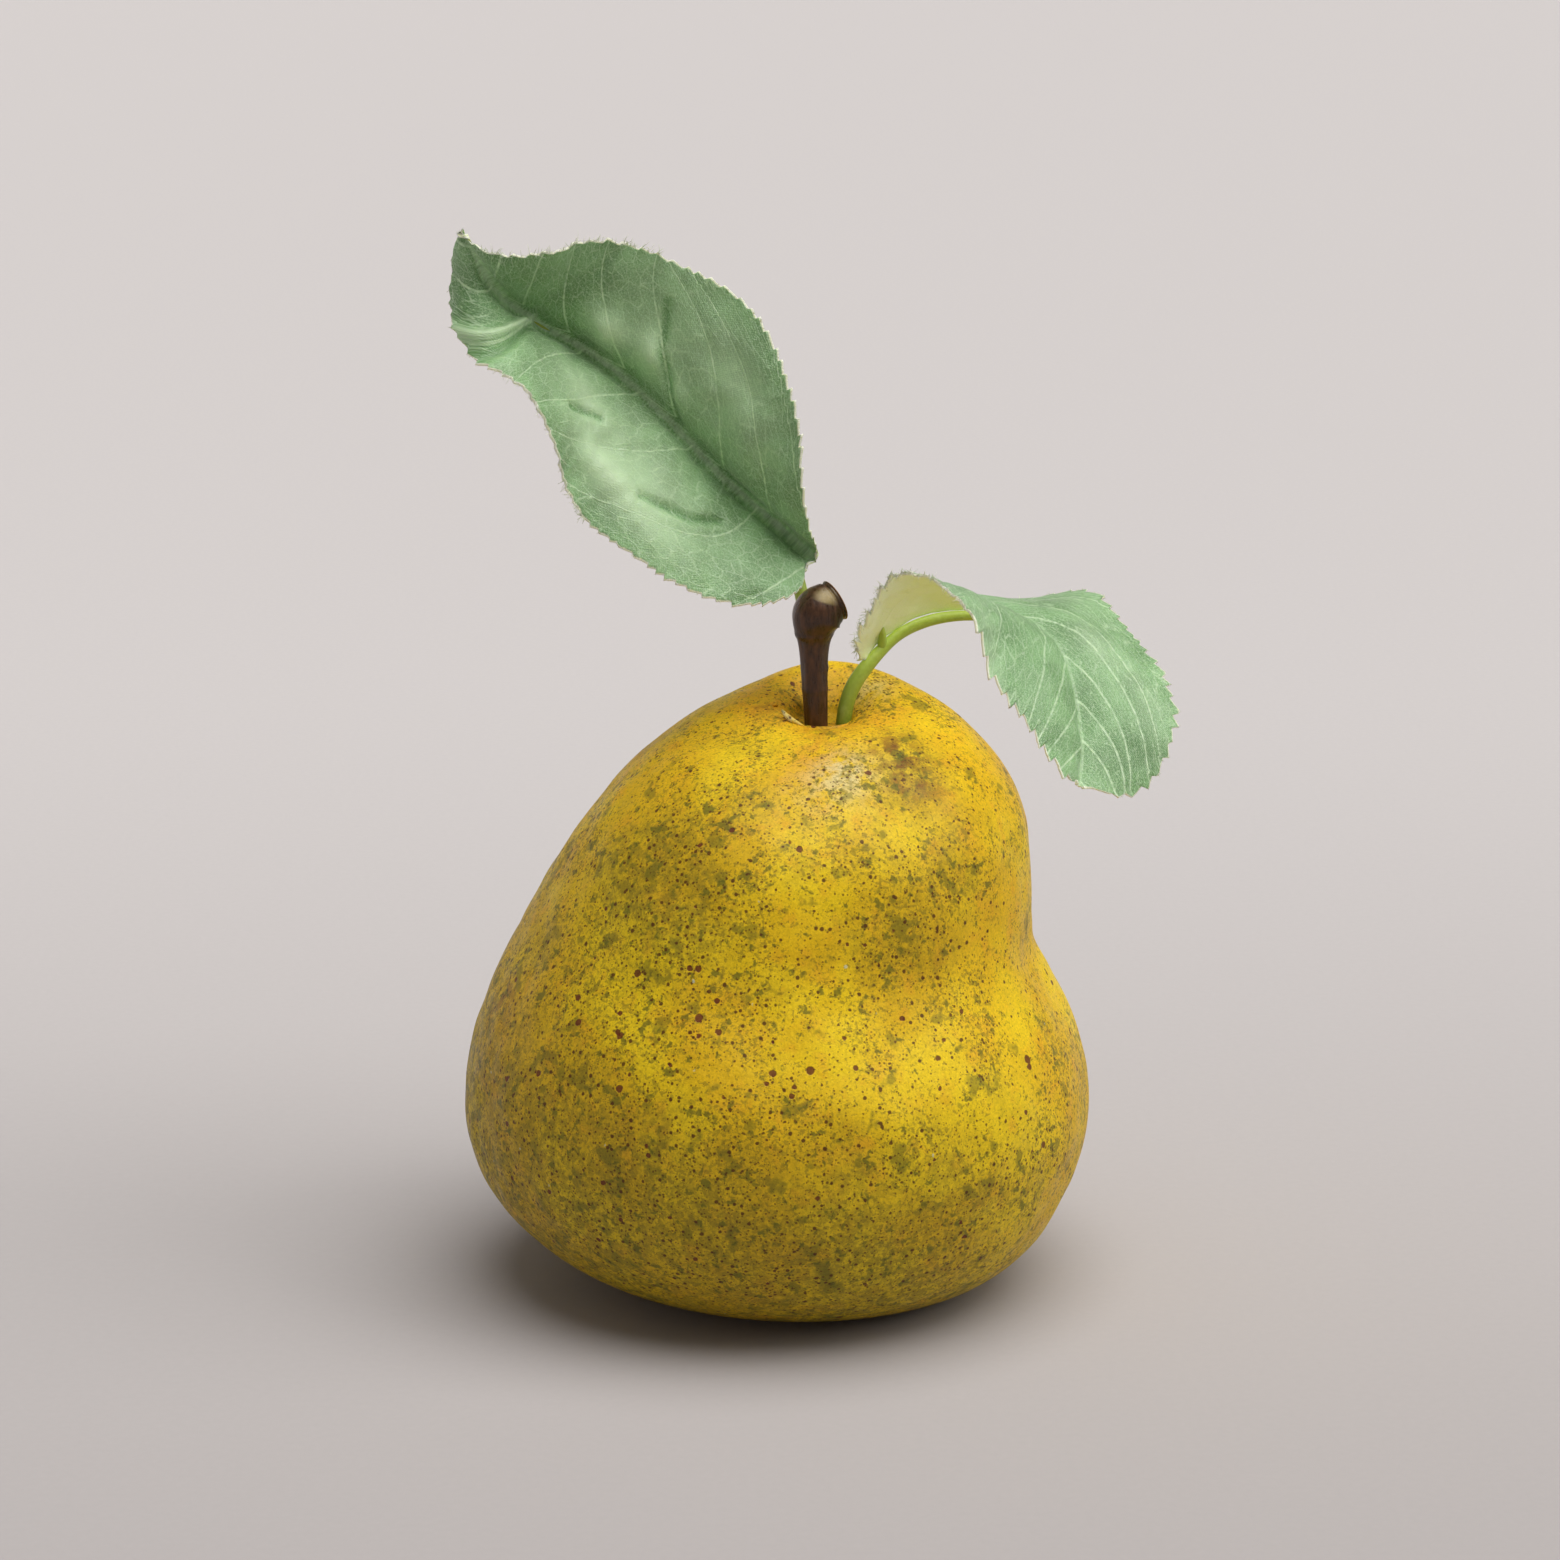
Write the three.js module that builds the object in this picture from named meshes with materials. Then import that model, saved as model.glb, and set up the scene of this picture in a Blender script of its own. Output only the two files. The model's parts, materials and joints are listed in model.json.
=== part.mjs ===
// An artificial pear, standing on a small flat spot: a painted foam fruit with a pocket in its top,
// a brown moulded stem, and two die-cut fabric leaves on green moulded stalks.
// Millimetres, +Z up, seen from -Y. The origin is the centre of the whole object's base rectangle.
import * as THREE from 'three';

// ---------------------------------------------------------------- driving dimensions

// The fruit is a stack of oval rings drawn through four outlines: its right and left sides give x, its
// front and back give y, each as [distance, height]. They start at the edge of the flat spot and end
// at the rim of the pocket.
const RIGHT_OUTLINE = [
  [19, 0], [26.5, 0.2], [33.5, 3.5], [38.8, 11], [41.3, 22], [40.6, 33], [34, 43],
  [32.8, 54], [32.8, 65], [24.5, 74.5], [16.5, 77.7], [12.4, 77.2], [10.6, 75.5], [10.3, 73.5],
];
const LEFT_OUTLINE = [
  [-10, 0], [-18, 0.2], [-30, 4.5], [-38, 12], [-41.2, 22], [-39.6, 34], [-35.3, 44],
  [-29.5, 54], [-23.5, 64], [-13.5, 73.4], [-2.6, 77.2], [0, 76.8], [1.1, 75.5], [1.3, 73.5],
];
const FRONT_OUTLINE = [
  [-13.5, 0], [-20, 0.2], [-30, 4.5], [-37, 12], [-40.5, 23], [-39.5, 34], [-34.5, 44],
  [-30.5, 54], [-26.5, 64], [-19, 71.5], [-10, 75.2], [-5.5, 75.8], [-3.6, 75], [-3.2, 73.5],
];
const BACK_OUTLINE = [
  [13.5, 0], [20, 0.2], [30, 4.5], [37, 12], [40.5, 23], [39.5, 34], [34.5, 44],
  [30.5, 54], [27, 64], [20, 74.5], [11.5, 80.5], [6.8, 79.8], [4.4, 77], [4, 74],
];

// Soft hollows pressed into the skin: where they are, how deep, and how far they spread.
const HOLLOWS = [
  { angle: -8, height: 45.5, depth: 0.8, around: 9, up: 3 },
  { angle: -70, height: 47, depth: 1.4, around: 20, up: 8 },
  { angle: -80, height: 70, depth: 1.2, around: 6, up: 6 },
  { angle: -48, height: 71, depth: 1.3, around: 5, up: 5 },
];

const BASIN = { x: 4.5, y: 0, profile: [[7, 0], [6.7, 1.4], [5.8, 3], [3.6, 4.3], [1.2, 4.6]] };
const POCKET = { x: 5.8, y: 0.4, halfWidth: 4.3, halfDepth: 3.4, floor: 62.5 };
const CALYX = { points: 5, profile: [[1.6, 4.1], [3, 3.7], [4.3, 2.5], [3.7, 2], [2, 2.9], [0.8, 3]] };

// Moulded pieces follow a path of [x, y, z, radius].
const STEM_PATH = [
  [5.35, -0.9, 64, 1.35], [5.35, -0.9, 69, 1.4], [5.3, -0.9, 74.5, 1.45], [5.05, -0.9, 79.5, 1.65],
  [4.9, -0.9, 84, 1.95], [4.9, -0.9, 86.6, 2.3], [5.3, -1, 88.5, 2.7], [6.4, -1.1, 89.6, 2.95],
  [7.5, -1.2, 90.3, 3.1], [8.1, -1.2, 90.7, 2.3], [8.3, -1.2, 90.8, 0.8],
];
const LEFT_STALK_PATH = [
  [4.1, 2.1, 64, 0.9], [4.1, 2.1, 70, 0.9], [4, 2.3, 76, 0.9], [3.7, 2.9, 83, 0.9], [3.7, 3.7, 89, 0.9],
];
const RIGHT_STALK_PATH = [
  [8.5, -0.2, 64, 1], [8.5, -0.2, 69, 1], [8.6, -0.1, 74, 1], [9.3, 0.1, 78.3, 1], [11.1, 0.6, 81.2, 0.95],
];

// Each leaf hangs on three rails, [x, y, z] from stalk to tip: its midrib and its two margins, left
// and right as seen on the printed face with the tip pointing up.
const LEFT_LEAF = {
  midrib: [
    [5, 3.5, 95], [0.5, 5.5, 99], [-6.5, 7, 104.5], [-12, 7.5, 111], [-20, 7.5, 119],
    [-25, 6.5, 122.5], [-31, 4.5, 126], [-34.5, 1.5, 129.5], [-37.5, -2, 134], [-39.5, -3.5, 138],
  ],
  leftMargin: [
    [4.5, 3.5, 94], [3, -2, 91], [-8, -4, 90.5], [-18, -5.5, 98], [-26, -4.5, 103],
    [-26.5, -6.5, 111.5], [-31, -9.5, 121.5], [-38.5, -7.5, 122.5], [-41, -3.5, 130.5], [-39.9, -3.5, 137.6],
  ],
  rightMargin: [
    [5.5, 3.5, 95.5], [3, -3, 103], [3.5, -3, 111.5], [1.2, 0, 120.5], [-3, 3.5, 128.5],
    [-10.5, 4, 132], [-21, 1, 137.5], [-28.5, -4, 135], [-36, -5, 135], [-39.1, -3.5, 137.9],
  ],
  bulge: 0.8,
};
const RIGHT_LEAF = {
  midrib: [
    [11, 1, 82.7], [13, 2.5, 85.3], [17.2, 4, 88.3], [24, 5, 89.3], [31, 3, 88.8],
    [35.5, -1.5, 87], [37.5, -6.5, 83.5], [38.5, -12, 77.5], [38.5, -17, 73], [38, -19, 71.5],
  ],
  rightMargin: [
    [10.7, 0.8, 83], [9.8, -4.5, 87.2], [13.5, -7, 95], [18, -9, 94.5], [27, -11, 93],
    [26.5, -13, 84], [31, -16, 80], [33.5, -20, 76.5], [36.5, -21, 73], [37.6, -19.2, 71.6],
  ],
  leftMargin: [
    [11.3, 1.2, 82.5], [12.8, 8, 87.8], [16.5, 14.5, 91], [23.5, 17, 87.5], [33.5, 16, 86.5],
    [41.5, 12, 90.5], [44.5, 5.5, 86], [52.5, -9.5, 79.5], [46, -16, 67.5], [38.4, -19, 71.5],
  ],
  bulge: 0.8,
};
const LEAF_THICKNESS = 0.5;
const RIB_GAP = 0.45;
const RIB_STATIONS = [0.1, 0.18, 0.27, 0.36, 0.45, 0.54, 0.63, 0.72, 0.81, 0.9];
const RIB_TAPER = [0.85, 0.3];

// How finely each piece is divided.
const BODY_RINGS = 30;
const BODY_SIDES = 48;
const STEM_RINGS = 22;
const STEM_SIDES = 16;
const STALK_RINGS = 30;
const STALK_SIDES = 8;
const CALYX_SIDES = 30;
const LEAF_ROWS = 26;
const LEAF_COLUMNS_PER_HALF = 5;

// ---------------------------------------------------------------- curves

// A smooth curve guided by a list of points of any dimension: the uniform cubic B-spline, with a
// mirrored point beyond each end so that it starts and stops on the first and last point.
function splineAt(points, fraction) {
  const last = points.length - 1;
  const mirror = (end, next) => end.map((value, axis) => 2 * value - next[axis]);
  const guide = [mirror(points[0], points[1]), ...points, mirror(points[last], points[last - 1])];
  const place = fraction * last;
  const start = Math.min(Math.floor(place), last - 1);
  const f = place - start;
  const weights = [
    (1 - f) ** 3,
    3 * f ** 3 - 6 * f ** 2 + 4,
    -3 * f ** 3 + 3 * f ** 2 + 3 * f + 1,
    f ** 3,
  ];
  return points[0].map((_, axis) => weights.reduce((sum, w, k) => sum + w * guide[start + k][axis], 0) / 6);
}

function splineVector(points, fraction) {
  return new THREE.Vector3(...splineAt(points, fraction));
}

function circleSteps(count) {
  return Array.from({ length: count }, (_, k) => (2 * Math.PI * k) / count);
}

// ---------------------------------------------------------------- closed meshes

// Turns every triangle round when the closed surface they make faces inwards.
function faceOutwards(vertices, triangles) {
  let volume = 0;
  for (const [a, b, c] of triangles) {
    volume += vertices[a].dot(vertices[b].clone().cross(vertices[c]));
  }
  return volume > 0 ? triangles : triangles.map(([a, b, c]) => [a, c, b]);
}

function closedGeometry(vertices, triangles) {
  const geometry = new THREE.BufferGeometry();
  const positions = vertices.flatMap((v) => [v.x, v.y, v.z]);
  geometry.setAttribute('position', new THREE.Float32BufferAttribute(positions, 3));
  geometry.setIndex(faceOutwards(vertices, triangles).flat());
  geometry.computeVertexNormals();
  return geometry;
}

// Skins a list of equal rings and closes each end with a fan round the middle of its ring.
function loft(rings) {
  const sides = rings[0].length;
  const vertices = rings.flat();
  const triangles = [];
  for (let ring = 0; ring + 1 < rings.length; ring += 1) {
    for (let side = 0; side < sides; side += 1) {
      const a = ring * sides + side;
      const b = ring * sides + ((side + 1) % sides);
      triangles.push([a, b, b + sides], [a, b + sides, a + sides]);
    }
  }
  const closeEnd = (ring, first, forwards) => {
    const middle = new THREE.Vector3();
    ring.forEach((v) => middle.addScaledVector(v, 1 / sides));
    const pole = vertices.push(middle) - 1;
    for (let side = 0; side < sides; side += 1) {
      const a = first + side;
      const b = first + ((side + 1) % sides);
      triangles.push(forwards ? [pole, a, b] : [pole, b, a]);
    }
  };
  closeEnd(rings[0], 0, false);
  closeEnd(rings[rings.length - 1], (rings.length - 1) * sides, true);
  return closedGeometry(vertices, triangles);
}

// Rings set square to a path of [x, y, z, radius]; no path here runs along Y.
function tube(path, ringCount, sides) {
  const rings = [];
  const step = 0.5 / ringCount;
  for (let k = 0; k <= ringCount; k += 1) {
    const fraction = k / ringCount;
    const [x, y, z, radius] = splineAt(path, fraction);
    const ahead = splineVector(path, Math.min(1, fraction + step));
    const along = ahead.sub(splineVector(path, Math.max(0, fraction - step))).normalize();
    const across = new THREE.Vector3(0, 1, 0).cross(along).normalize();
    const upward = along.clone().cross(across);
    rings.push(circleSteps(sides).map((turn) => new THREE.Vector3(x, y, z)
      .addScaledVector(across, radius * Math.cos(turn))
      .addScaledVector(upward, radius * Math.sin(turn))));
  }
  return loft(rings);
}

// ---------------------------------------------------------------- fruit

function pressHollows(point) {
  const turn = Math.atan2(point.y, point.x);
  const distance = Math.hypot(point.x, point.y);
  let push = 0;
  for (const { angle, height, depth, around, up } of HOLLOWS) {
    const past = turn - THREE.MathUtils.degToRad(angle) + Math.PI;
    const away = THREE.MathUtils.euclideanModulo(past, 2 * Math.PI) - Math.PI;
    push += depth * Math.exp(-((away * distance / around) ** 2) - ((point.z - height) / up) ** 2);
  }
  return new THREE.Vector3(point.x - push * Math.cos(turn), point.y - push * Math.sin(turn), point.z);
}

// One oval ring: x runs between the right and left outlines, y between the back and front ones, and
// the height swings smoothly through all four.
function skinRing(fraction) {
  const [right, rightHeight] = splineAt(RIGHT_OUTLINE, fraction);
  const [left, leftHeight] = splineAt(LEFT_OUTLINE, fraction);
  const [front, frontHeight] = splineAt(FRONT_OUTLINE, fraction);
  const [back, backHeight] = splineAt(BACK_OUTLINE, fraction);
  const mean = (rightHeight + leftHeight + frontHeight + backHeight) / 4;
  const saddle = (rightHeight + leftHeight - frontHeight - backHeight) / 4;
  return circleSteps(BODY_SIDES).map((turn) => pressHollows(new THREE.Vector3(
    (right + left) / 2 + ((right - left) / 2) * Math.cos(turn),
    (back + front) / 2 + ((back - front) / 2) * Math.sin(turn),
    mean + ((rightHeight - leftHeight) / 2) * Math.cos(turn)
      + ((backHeight - frontHeight) / 2) * Math.sin(turn) + saddle * Math.cos(2 * turn),
  )));
}

function ovalRing(x, y, z, halfWidth, halfDepth, sides) {
  return circleSteps(sides).map((turn) => new THREE.Vector3(
    x + halfWidth * Math.cos(turn), y + halfDepth * Math.sin(turn), z,
  ));
}

// From the middle of the basin out over the flat spot, up the skin and down into the pocket.
function pearBody() {
  const rings = [];
  for (const [radius, height] of [...BASIN.profile].reverse()) {
    rings.push(ovalRing(BASIN.x, BASIN.y, height, radius, radius, BODY_SIDES));
  }
  for (let k = 0; k <= BODY_RINGS; k += 1) {
    rings.push(skinRing(k / BODY_RINGS));
  }
  for (const height of [68, POCKET.floor]) {
    rings.push(ovalRing(POCKET.x, POCKET.y, height, POCKET.halfWidth, POCKET.halfDepth, BODY_SIDES));
  }
  return loft(rings);
}

// The dried flower end: a small star of curled points sitting up inside the basin.
function calyx() {
  const rings = CALYX.profile.map(([radius, height], ring) => {
    const lobe = ring > 0 && ring < CALYX.profile.length - 1 ? 0.2 : 0;
    return circleSteps(CALYX_SIDES).map((turn) => {
      const reach = radius * (1 + lobe * Math.cos(CALYX.points * turn));
      return new THREE.Vector3(BASIN.x + reach * Math.cos(turn), BASIN.y + reach * Math.sin(turn), height);
    });
  });
  return loft(rings);
}

// ---------------------------------------------------------------- leaves

// A point of a blade: fraction runs from stalk to tip, side from -1 at the left margin over 0 at the
// midrib to 1 at the right margin. Each half is straight across, plus a soft bulge.
function bladePoint(leaf, fraction, side) {
  const middle = splineVector(leaf.midrib, fraction);
  const margin = splineVector(side < 0 ? leaf.leftMargin : leaf.rightMargin, fraction);
  const reach = Math.abs(side);
  const lift = leaf.bulge * 4 * reach * (1 - reach) * Math.sin(Math.PI * fraction);
  return middle.clone().lerp(margin, reach).addScaledVector(halfNormal(leaf, fraction, side), lift);
}

// The direction that one half of a blade faces at its midrib.
function halfNormal(leaf, fraction, side) {
  const step = 0.01;
  const ahead = splineVector(leaf.midrib, Math.min(1, fraction + step));
  const along = ahead.sub(splineVector(leaf.midrib, Math.max(0, fraction - step)));
  const margin = splineVector(side < 0 ? leaf.leftMargin : leaf.rightMargin, fraction);
  const outwards = margin.sub(splineVector(leaf.midrib, fraction));
  const normal = side < 0 ? along.cross(outwards) : outwards.cross(along);
  return normal.normalize();
}

// A blade as a closed sheet: the printed face, the same face moved back by the thickness, and a rim.
function blade(leaf) {
  const columns = 2 * LEAF_COLUMNS_PER_HALF;
  const sides = Array.from({ length: columns + 1 }, (_, k) => k / LEAF_COLUMNS_PER_HALF - 1);
  const point = (row, column) => bladePoint(leaf, row / LEAF_ROWS, sides[column]);
  const face = [];
  const back = [];
  for (let row = 0; row <= LEAF_ROWS; row += 1) {
    for (let column = 0; column <= columns; column += 1) {
      const along = point(Math.min(row + 1, LEAF_ROWS), column).sub(point(Math.max(row - 1, 0), column));
      const across = point(row, Math.min(column + 1, columns)).sub(point(row, Math.max(column - 1, 0)));
      const normal = across.cross(along).normalize();
      face.push(point(row, column));
      back.push(point(row, column).addScaledVector(normal, -LEAF_THICKNESS));
    }
  }
  const count = face.length;
  const index = (row, column) => row * (columns + 1) + column;
  const triangles = [];
  const addQuad = (a, b, c, d) => triangles.push([a, b, c], [a, c, d]);
  for (let row = 0; row < LEAF_ROWS; row += 1) {
    for (let column = 0; column < columns; column += 1) {
      const [a, b] = [index(row, column), index(row, column + 1)];
      const [c, d] = [index(row + 1, column), index(row + 1, column + 1)];
      addQuad(a, c, d, b);
      addQuad(b + count, d + count, c + count, a + count);
    }
  }
  const rim = [];
  for (let row = 0; row < LEAF_ROWS; row += 1) rim.push([index(row + 1, 0), index(row, 0)]);
  for (let row = 0; row < LEAF_ROWS; row += 1) rim.push([index(row, columns), index(row + 1, columns)]);
  for (let column = 0; column < columns; column += 1) rim.push([index(0, column), index(0, column + 1)]);
  for (let column = 0; column < columns; column += 1) {
    rim.push([index(LEAF_ROWS, column + 1), index(LEAF_ROWS, column)]);
  }
  for (const [a, b] of rim) addQuad(a, b, b + count, a + count);
  return closedGeometry([...face, ...back], triangles);
}

// A stalk comes out of the pocket and goes on as the leaf's rib, a tapering rod under the midrib.
function stalk(path, leaf) {
  const rib = RIB_STATIONS.map((fraction) => {
    const upward = halfNormal(leaf, fraction, -1).add(halfNormal(leaf, fraction, 1)).normalize();
    const radius = THREE.MathUtils.lerp(RIB_TAPER[0], RIB_TAPER[1], fraction);
    const drop = LEAF_THICKNESS + RIB_GAP + radius;
    const centre = splineVector(leaf.midrib, fraction).addScaledVector(upward, -drop);
    return [centre.x, centre.y, centre.z, radius];
  });
  return tube([...path, ...rib], STALK_RINGS, STALK_SIDES);
}

// ---------------------------------------------------------------- assembly

const PAINT = new THREE.MeshStandardMaterial({ color: 0xc0a026, roughness: 0.42, metalness: 0 });
const STEM_PLASTIC = new THREE.MeshStandardMaterial({ color: 0x473620, roughness: 0.35, metalness: 0 });
const STALK_PLASTIC = new THREE.MeshStandardMaterial({ color: 0x7c9a2f, roughness: 0.45, metalness: 0 });
const LEAF_FABRIC = new THREE.MeshStandardMaterial({ color: 0x6f9a5c, roughness: 0.7, metalness: 0 });
const DRY_SEPALS = new THREE.MeshStandardMaterial({ color: 0x3b2a18, roughness: 0.85, metalness: 0 });

function piece(name, geometry, material) {
  const mesh = new THREE.Mesh(geometry, material);
  mesh.name = name;
  return mesh;
}

const pear = new THREE.Group();
pear.add(
  piece('pear_body', pearBody(), PAINT),
  piece('calyx', calyx(), DRY_SEPALS),
  piece('stem', tube(STEM_PATH, STEM_RINGS, STEM_SIDES), STEM_PLASTIC),
  piece('leaf_stalk_left', stalk(LEFT_STALK_PATH, LEFT_LEAF), STALK_PLASTIC),
  piece('leaf_left', blade(LEFT_LEAF), LEAF_FABRIC),
  piece('leaf_stalk_right', stalk(RIGHT_STALK_PATH, RIGHT_LEAF), STALK_PLASTIC),
  piece('leaf_right', blade(RIGHT_LEAF), LEAF_FABRIC),
);

// The origin goes to the middle of the base rectangle that holds the whole object.
const box = new THREE.Box3().setFromObject(pear);
pear.position.set(-(box.min.x + box.max.x) / 2, -(box.min.y + box.max.y) / 2, -box.min.z);

export default pear;
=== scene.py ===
"""Looks of the artificial pear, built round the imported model.

Shapes are worked out in design millimetres: x = 0 is the middle of the fruit as seen from the front,
and z = 0 is the surface that it stands on. `Row.metres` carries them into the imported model's frame.
"""

import json
import logging
import math
from dataclasses import dataclass
from enum import Enum
from typing import Callable, Iterable, Sequence

import bpy
import numpy as np
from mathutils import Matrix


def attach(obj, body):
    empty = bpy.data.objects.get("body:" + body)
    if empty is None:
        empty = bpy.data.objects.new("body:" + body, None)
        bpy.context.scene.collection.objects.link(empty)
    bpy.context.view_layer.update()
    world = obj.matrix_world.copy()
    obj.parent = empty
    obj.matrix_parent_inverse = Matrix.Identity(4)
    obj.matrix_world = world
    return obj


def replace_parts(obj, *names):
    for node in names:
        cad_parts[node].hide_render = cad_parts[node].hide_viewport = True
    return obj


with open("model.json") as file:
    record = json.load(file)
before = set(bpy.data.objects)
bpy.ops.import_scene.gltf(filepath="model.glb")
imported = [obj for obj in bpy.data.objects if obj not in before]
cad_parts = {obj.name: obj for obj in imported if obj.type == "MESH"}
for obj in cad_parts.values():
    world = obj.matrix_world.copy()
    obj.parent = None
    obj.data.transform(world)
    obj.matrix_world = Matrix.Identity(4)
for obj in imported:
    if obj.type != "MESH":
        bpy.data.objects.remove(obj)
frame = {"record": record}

log = logging.getLogger("pear")

Array = np.ndarray
Pair = tuple[float, float]
Point = tuple[float, float, float]
Bead = tuple[float, float, float, float]
Colour = tuple[float, float, float]
Socket = bpy.types.NodeSocket

BODY = "root"
MM = 0.001

# The record's base mount lies at this design point, which ties the two frames together.
BASE_POINT_MM = np.array([15.0, 0.0, 0.0])

# The cloth map holds tenths of a metre, so that it stays between -1 and 1.
CLOTH_MAP_SCALE = 0.01

FIBRE_SIDES = 3
FLOAT = "NodeSocketFloat"
VECTOR = "NodeSocketVector"


# ---------------------------------------------------------------- curves and small sums


class Row:
    """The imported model's own frame."""

    @staticmethod
    def shift_mm() -> Array:
        """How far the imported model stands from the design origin, in millimetres."""
        mount = next(m for m in frame["record"]["mounts"] if m["name"] == "base")
        return np.array(mount["pos_m"]) / MM - BASE_POINT_MM

    @classmethod
    def metres(cls, points: Array) -> Array:
        """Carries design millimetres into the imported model's frame.

        Args:
            points: design points, in millimetres, xyz on the last axis.

        Returns:
            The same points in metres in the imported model's frame.
        """
        return (np.asarray(points, float) + cls.shift_mm()) * MM


def spline(points: Sequence[Sequence[float]] | Array, fraction: Array) -> Array:
    """A smooth curve guided by points: the uniform cubic B-spline with a mirrored point beyond each end.

    Args:
        points: guide points of any dimension.
        fraction: places along the curve, 0 at its first point and 1 at its last.

    Returns:
        The curve's points, with the dimension of the guide on the last axis.
    """
    guide = np.asarray(points, float)
    guide = np.vstack([2 * guide[0] - guide[1], guide, 2 * guide[-1] - guide[-2]])
    place = np.clip(np.asarray(fraction, float), 0, 1) * (len(guide) - 3)
    start = np.minimum(place.astype(int), len(guide) - 4)
    f = (place - start)[..., None]
    weights = ((1 - f) ** 3, 3 * f**3 - 6 * f**2 + 4, -3 * f**3 + 3 * f**2 + 3 * f + 1, f**3)
    return sum(weight * guide[start + k] for k, weight in enumerate(weights)) / 6


def run_length(points: Array) -> Array:
    """The length of a row of points up to each of them, 0 at the first."""
    return np.concatenate([[0], np.cumsum(np.linalg.norm(np.diff(points, axis=0), axis=1))])


def unit(vectors: Array) -> Array:
    """Vectors of length one, in the same directions."""
    return vectors / np.maximum(np.linalg.norm(vectors, axis=-1, keepdims=True), 1e-9)


def smooth_step(value: Array, low: float, high: float) -> Array:
    """0 below low, 1 above high, and the cubic 3t squared minus 2t cubed between them."""
    t = np.clip((value - low) / (high - low), 0, 1)
    return t * t * (3 - 2 * t)


def bell(distance: Array, reach: float) -> Array:
    """The bell curve exp(-(distance / reach) squared)."""
    return np.exp(-((distance / reach) ** 2))


@dataclass(frozen=True)
class Lumps:
    """Soft unevenness: its height and the typical distance between two crests, both in millimetres."""

    height: float
    wavelength: float
    seed: int
    count: int = 28

    def at(self, points: Array) -> Array:
        """The mean of plane waves that run in random directions, times the height.

        Args:
            points: places in millimetres, on the last axis.

        Returns:
            Millimetres for each place.
        """
        random = np.random.default_rng(self.seed)
        ways = unit(random.normal(size=(self.count, points.shape[-1])))
        lengths = self.wavelength * random.uniform(0.7, 1.5, self.count)
        phases = random.uniform(0, 2 * math.pi, self.count)
        turns = points @ (2 * math.pi * ways / lengths[:, None]).T + phases
        return self.height * (np.sin(turns).sum(-1) / math.sqrt(self.count))


def grid_normals(grid: Array, wraps: bool) -> Array:
    """The side that a grid faces: its step along a row crossed with its step to the next row.

    Args:
        grid: points, rows by columns.
        wraps: whether the last column is next to the first.

    Returns:
        Unit normals, rows by columns.
    """
    if wraps:
        across = np.roll(grid, -1, 1) - np.roll(grid, 1, 1)
    else:
        across = np.gradient(grid, axis=1)
    return unit(np.cross(across, np.gradient(grid, axis=0)))


# ---------------------------------------------------------------- meshes


def ring_faces(rings: int, sides: int) -> list[list[int]]:
    """Faces of a stack of rings with a fan at each end; the two poles are the last two vertices.

    Args:
        rings: number of rings.
        sides: vertices in each ring.

    Returns:
        Vertex numbers of each face, turning to face outwards.
    """
    side = np.arange(sides)
    following = (side + 1) % sides
    row = np.arange(rings - 1)[:, None] * sides
    a, b = (row + side).ravel(), (row + following).ravel()
    walls = np.stack([a, b, b + sides, a + sides], -1)
    first = np.full(sides, rings * sides)
    top = (rings - 1) * sides
    low_fan = np.stack([first, following, side], -1)
    high_fan = np.stack([first + 1, top + side, top + following], -1)
    return walls.tolist() + low_fan.tolist() + high_fan.tolist()


def sheet_faces(rows: int, columns: int) -> list[list[int]]:
    """Faces of a thin sheet: its front, its back and the rim between them.

    Args:
        rows: rows of the front's grid.
        columns: columns of it. The back's vertices follow the front's in the same order.

    Returns:
        Vertex numbers of each face, turning to face outwards.
    """
    count = rows * columns
    index = np.arange(count).reshape(rows, columns)
    a, b, c, d = index[:-1, :-1], index[:-1, 1:], index[1:, 1:], index[1:, :-1]
    front = np.stack([a, b, c, d], -1).reshape(-1, 4)
    back = np.stack([d, c, b, a], -1).reshape(-1, 4) + count
    loop = np.concatenate([index[0, :-1], index[:-1, -1], index[-1, :0:-1], index[:0:-1, 0]])
    following = np.roll(loop, -1)
    rim = np.stack([following, loop, loop + count, following + count], -1)
    return np.concatenate([front, back, rim]).tolist()


def ring_vertices(rings: Array) -> Array:
    """The vertices of a stack of rings, then the middles of its first and last ring."""
    poles = np.stack([rings[0].mean(0), rings[-1].mean(0)])
    return np.concatenate([rings.reshape(-1, 3), poles])


def pole_values(values: Array) -> Array:
    """A value for each vertex of ring_vertices, from one value for each ring point."""
    return np.concatenate([values.ravel(), [values[0].mean(), values[-1].mean()]])


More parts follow.
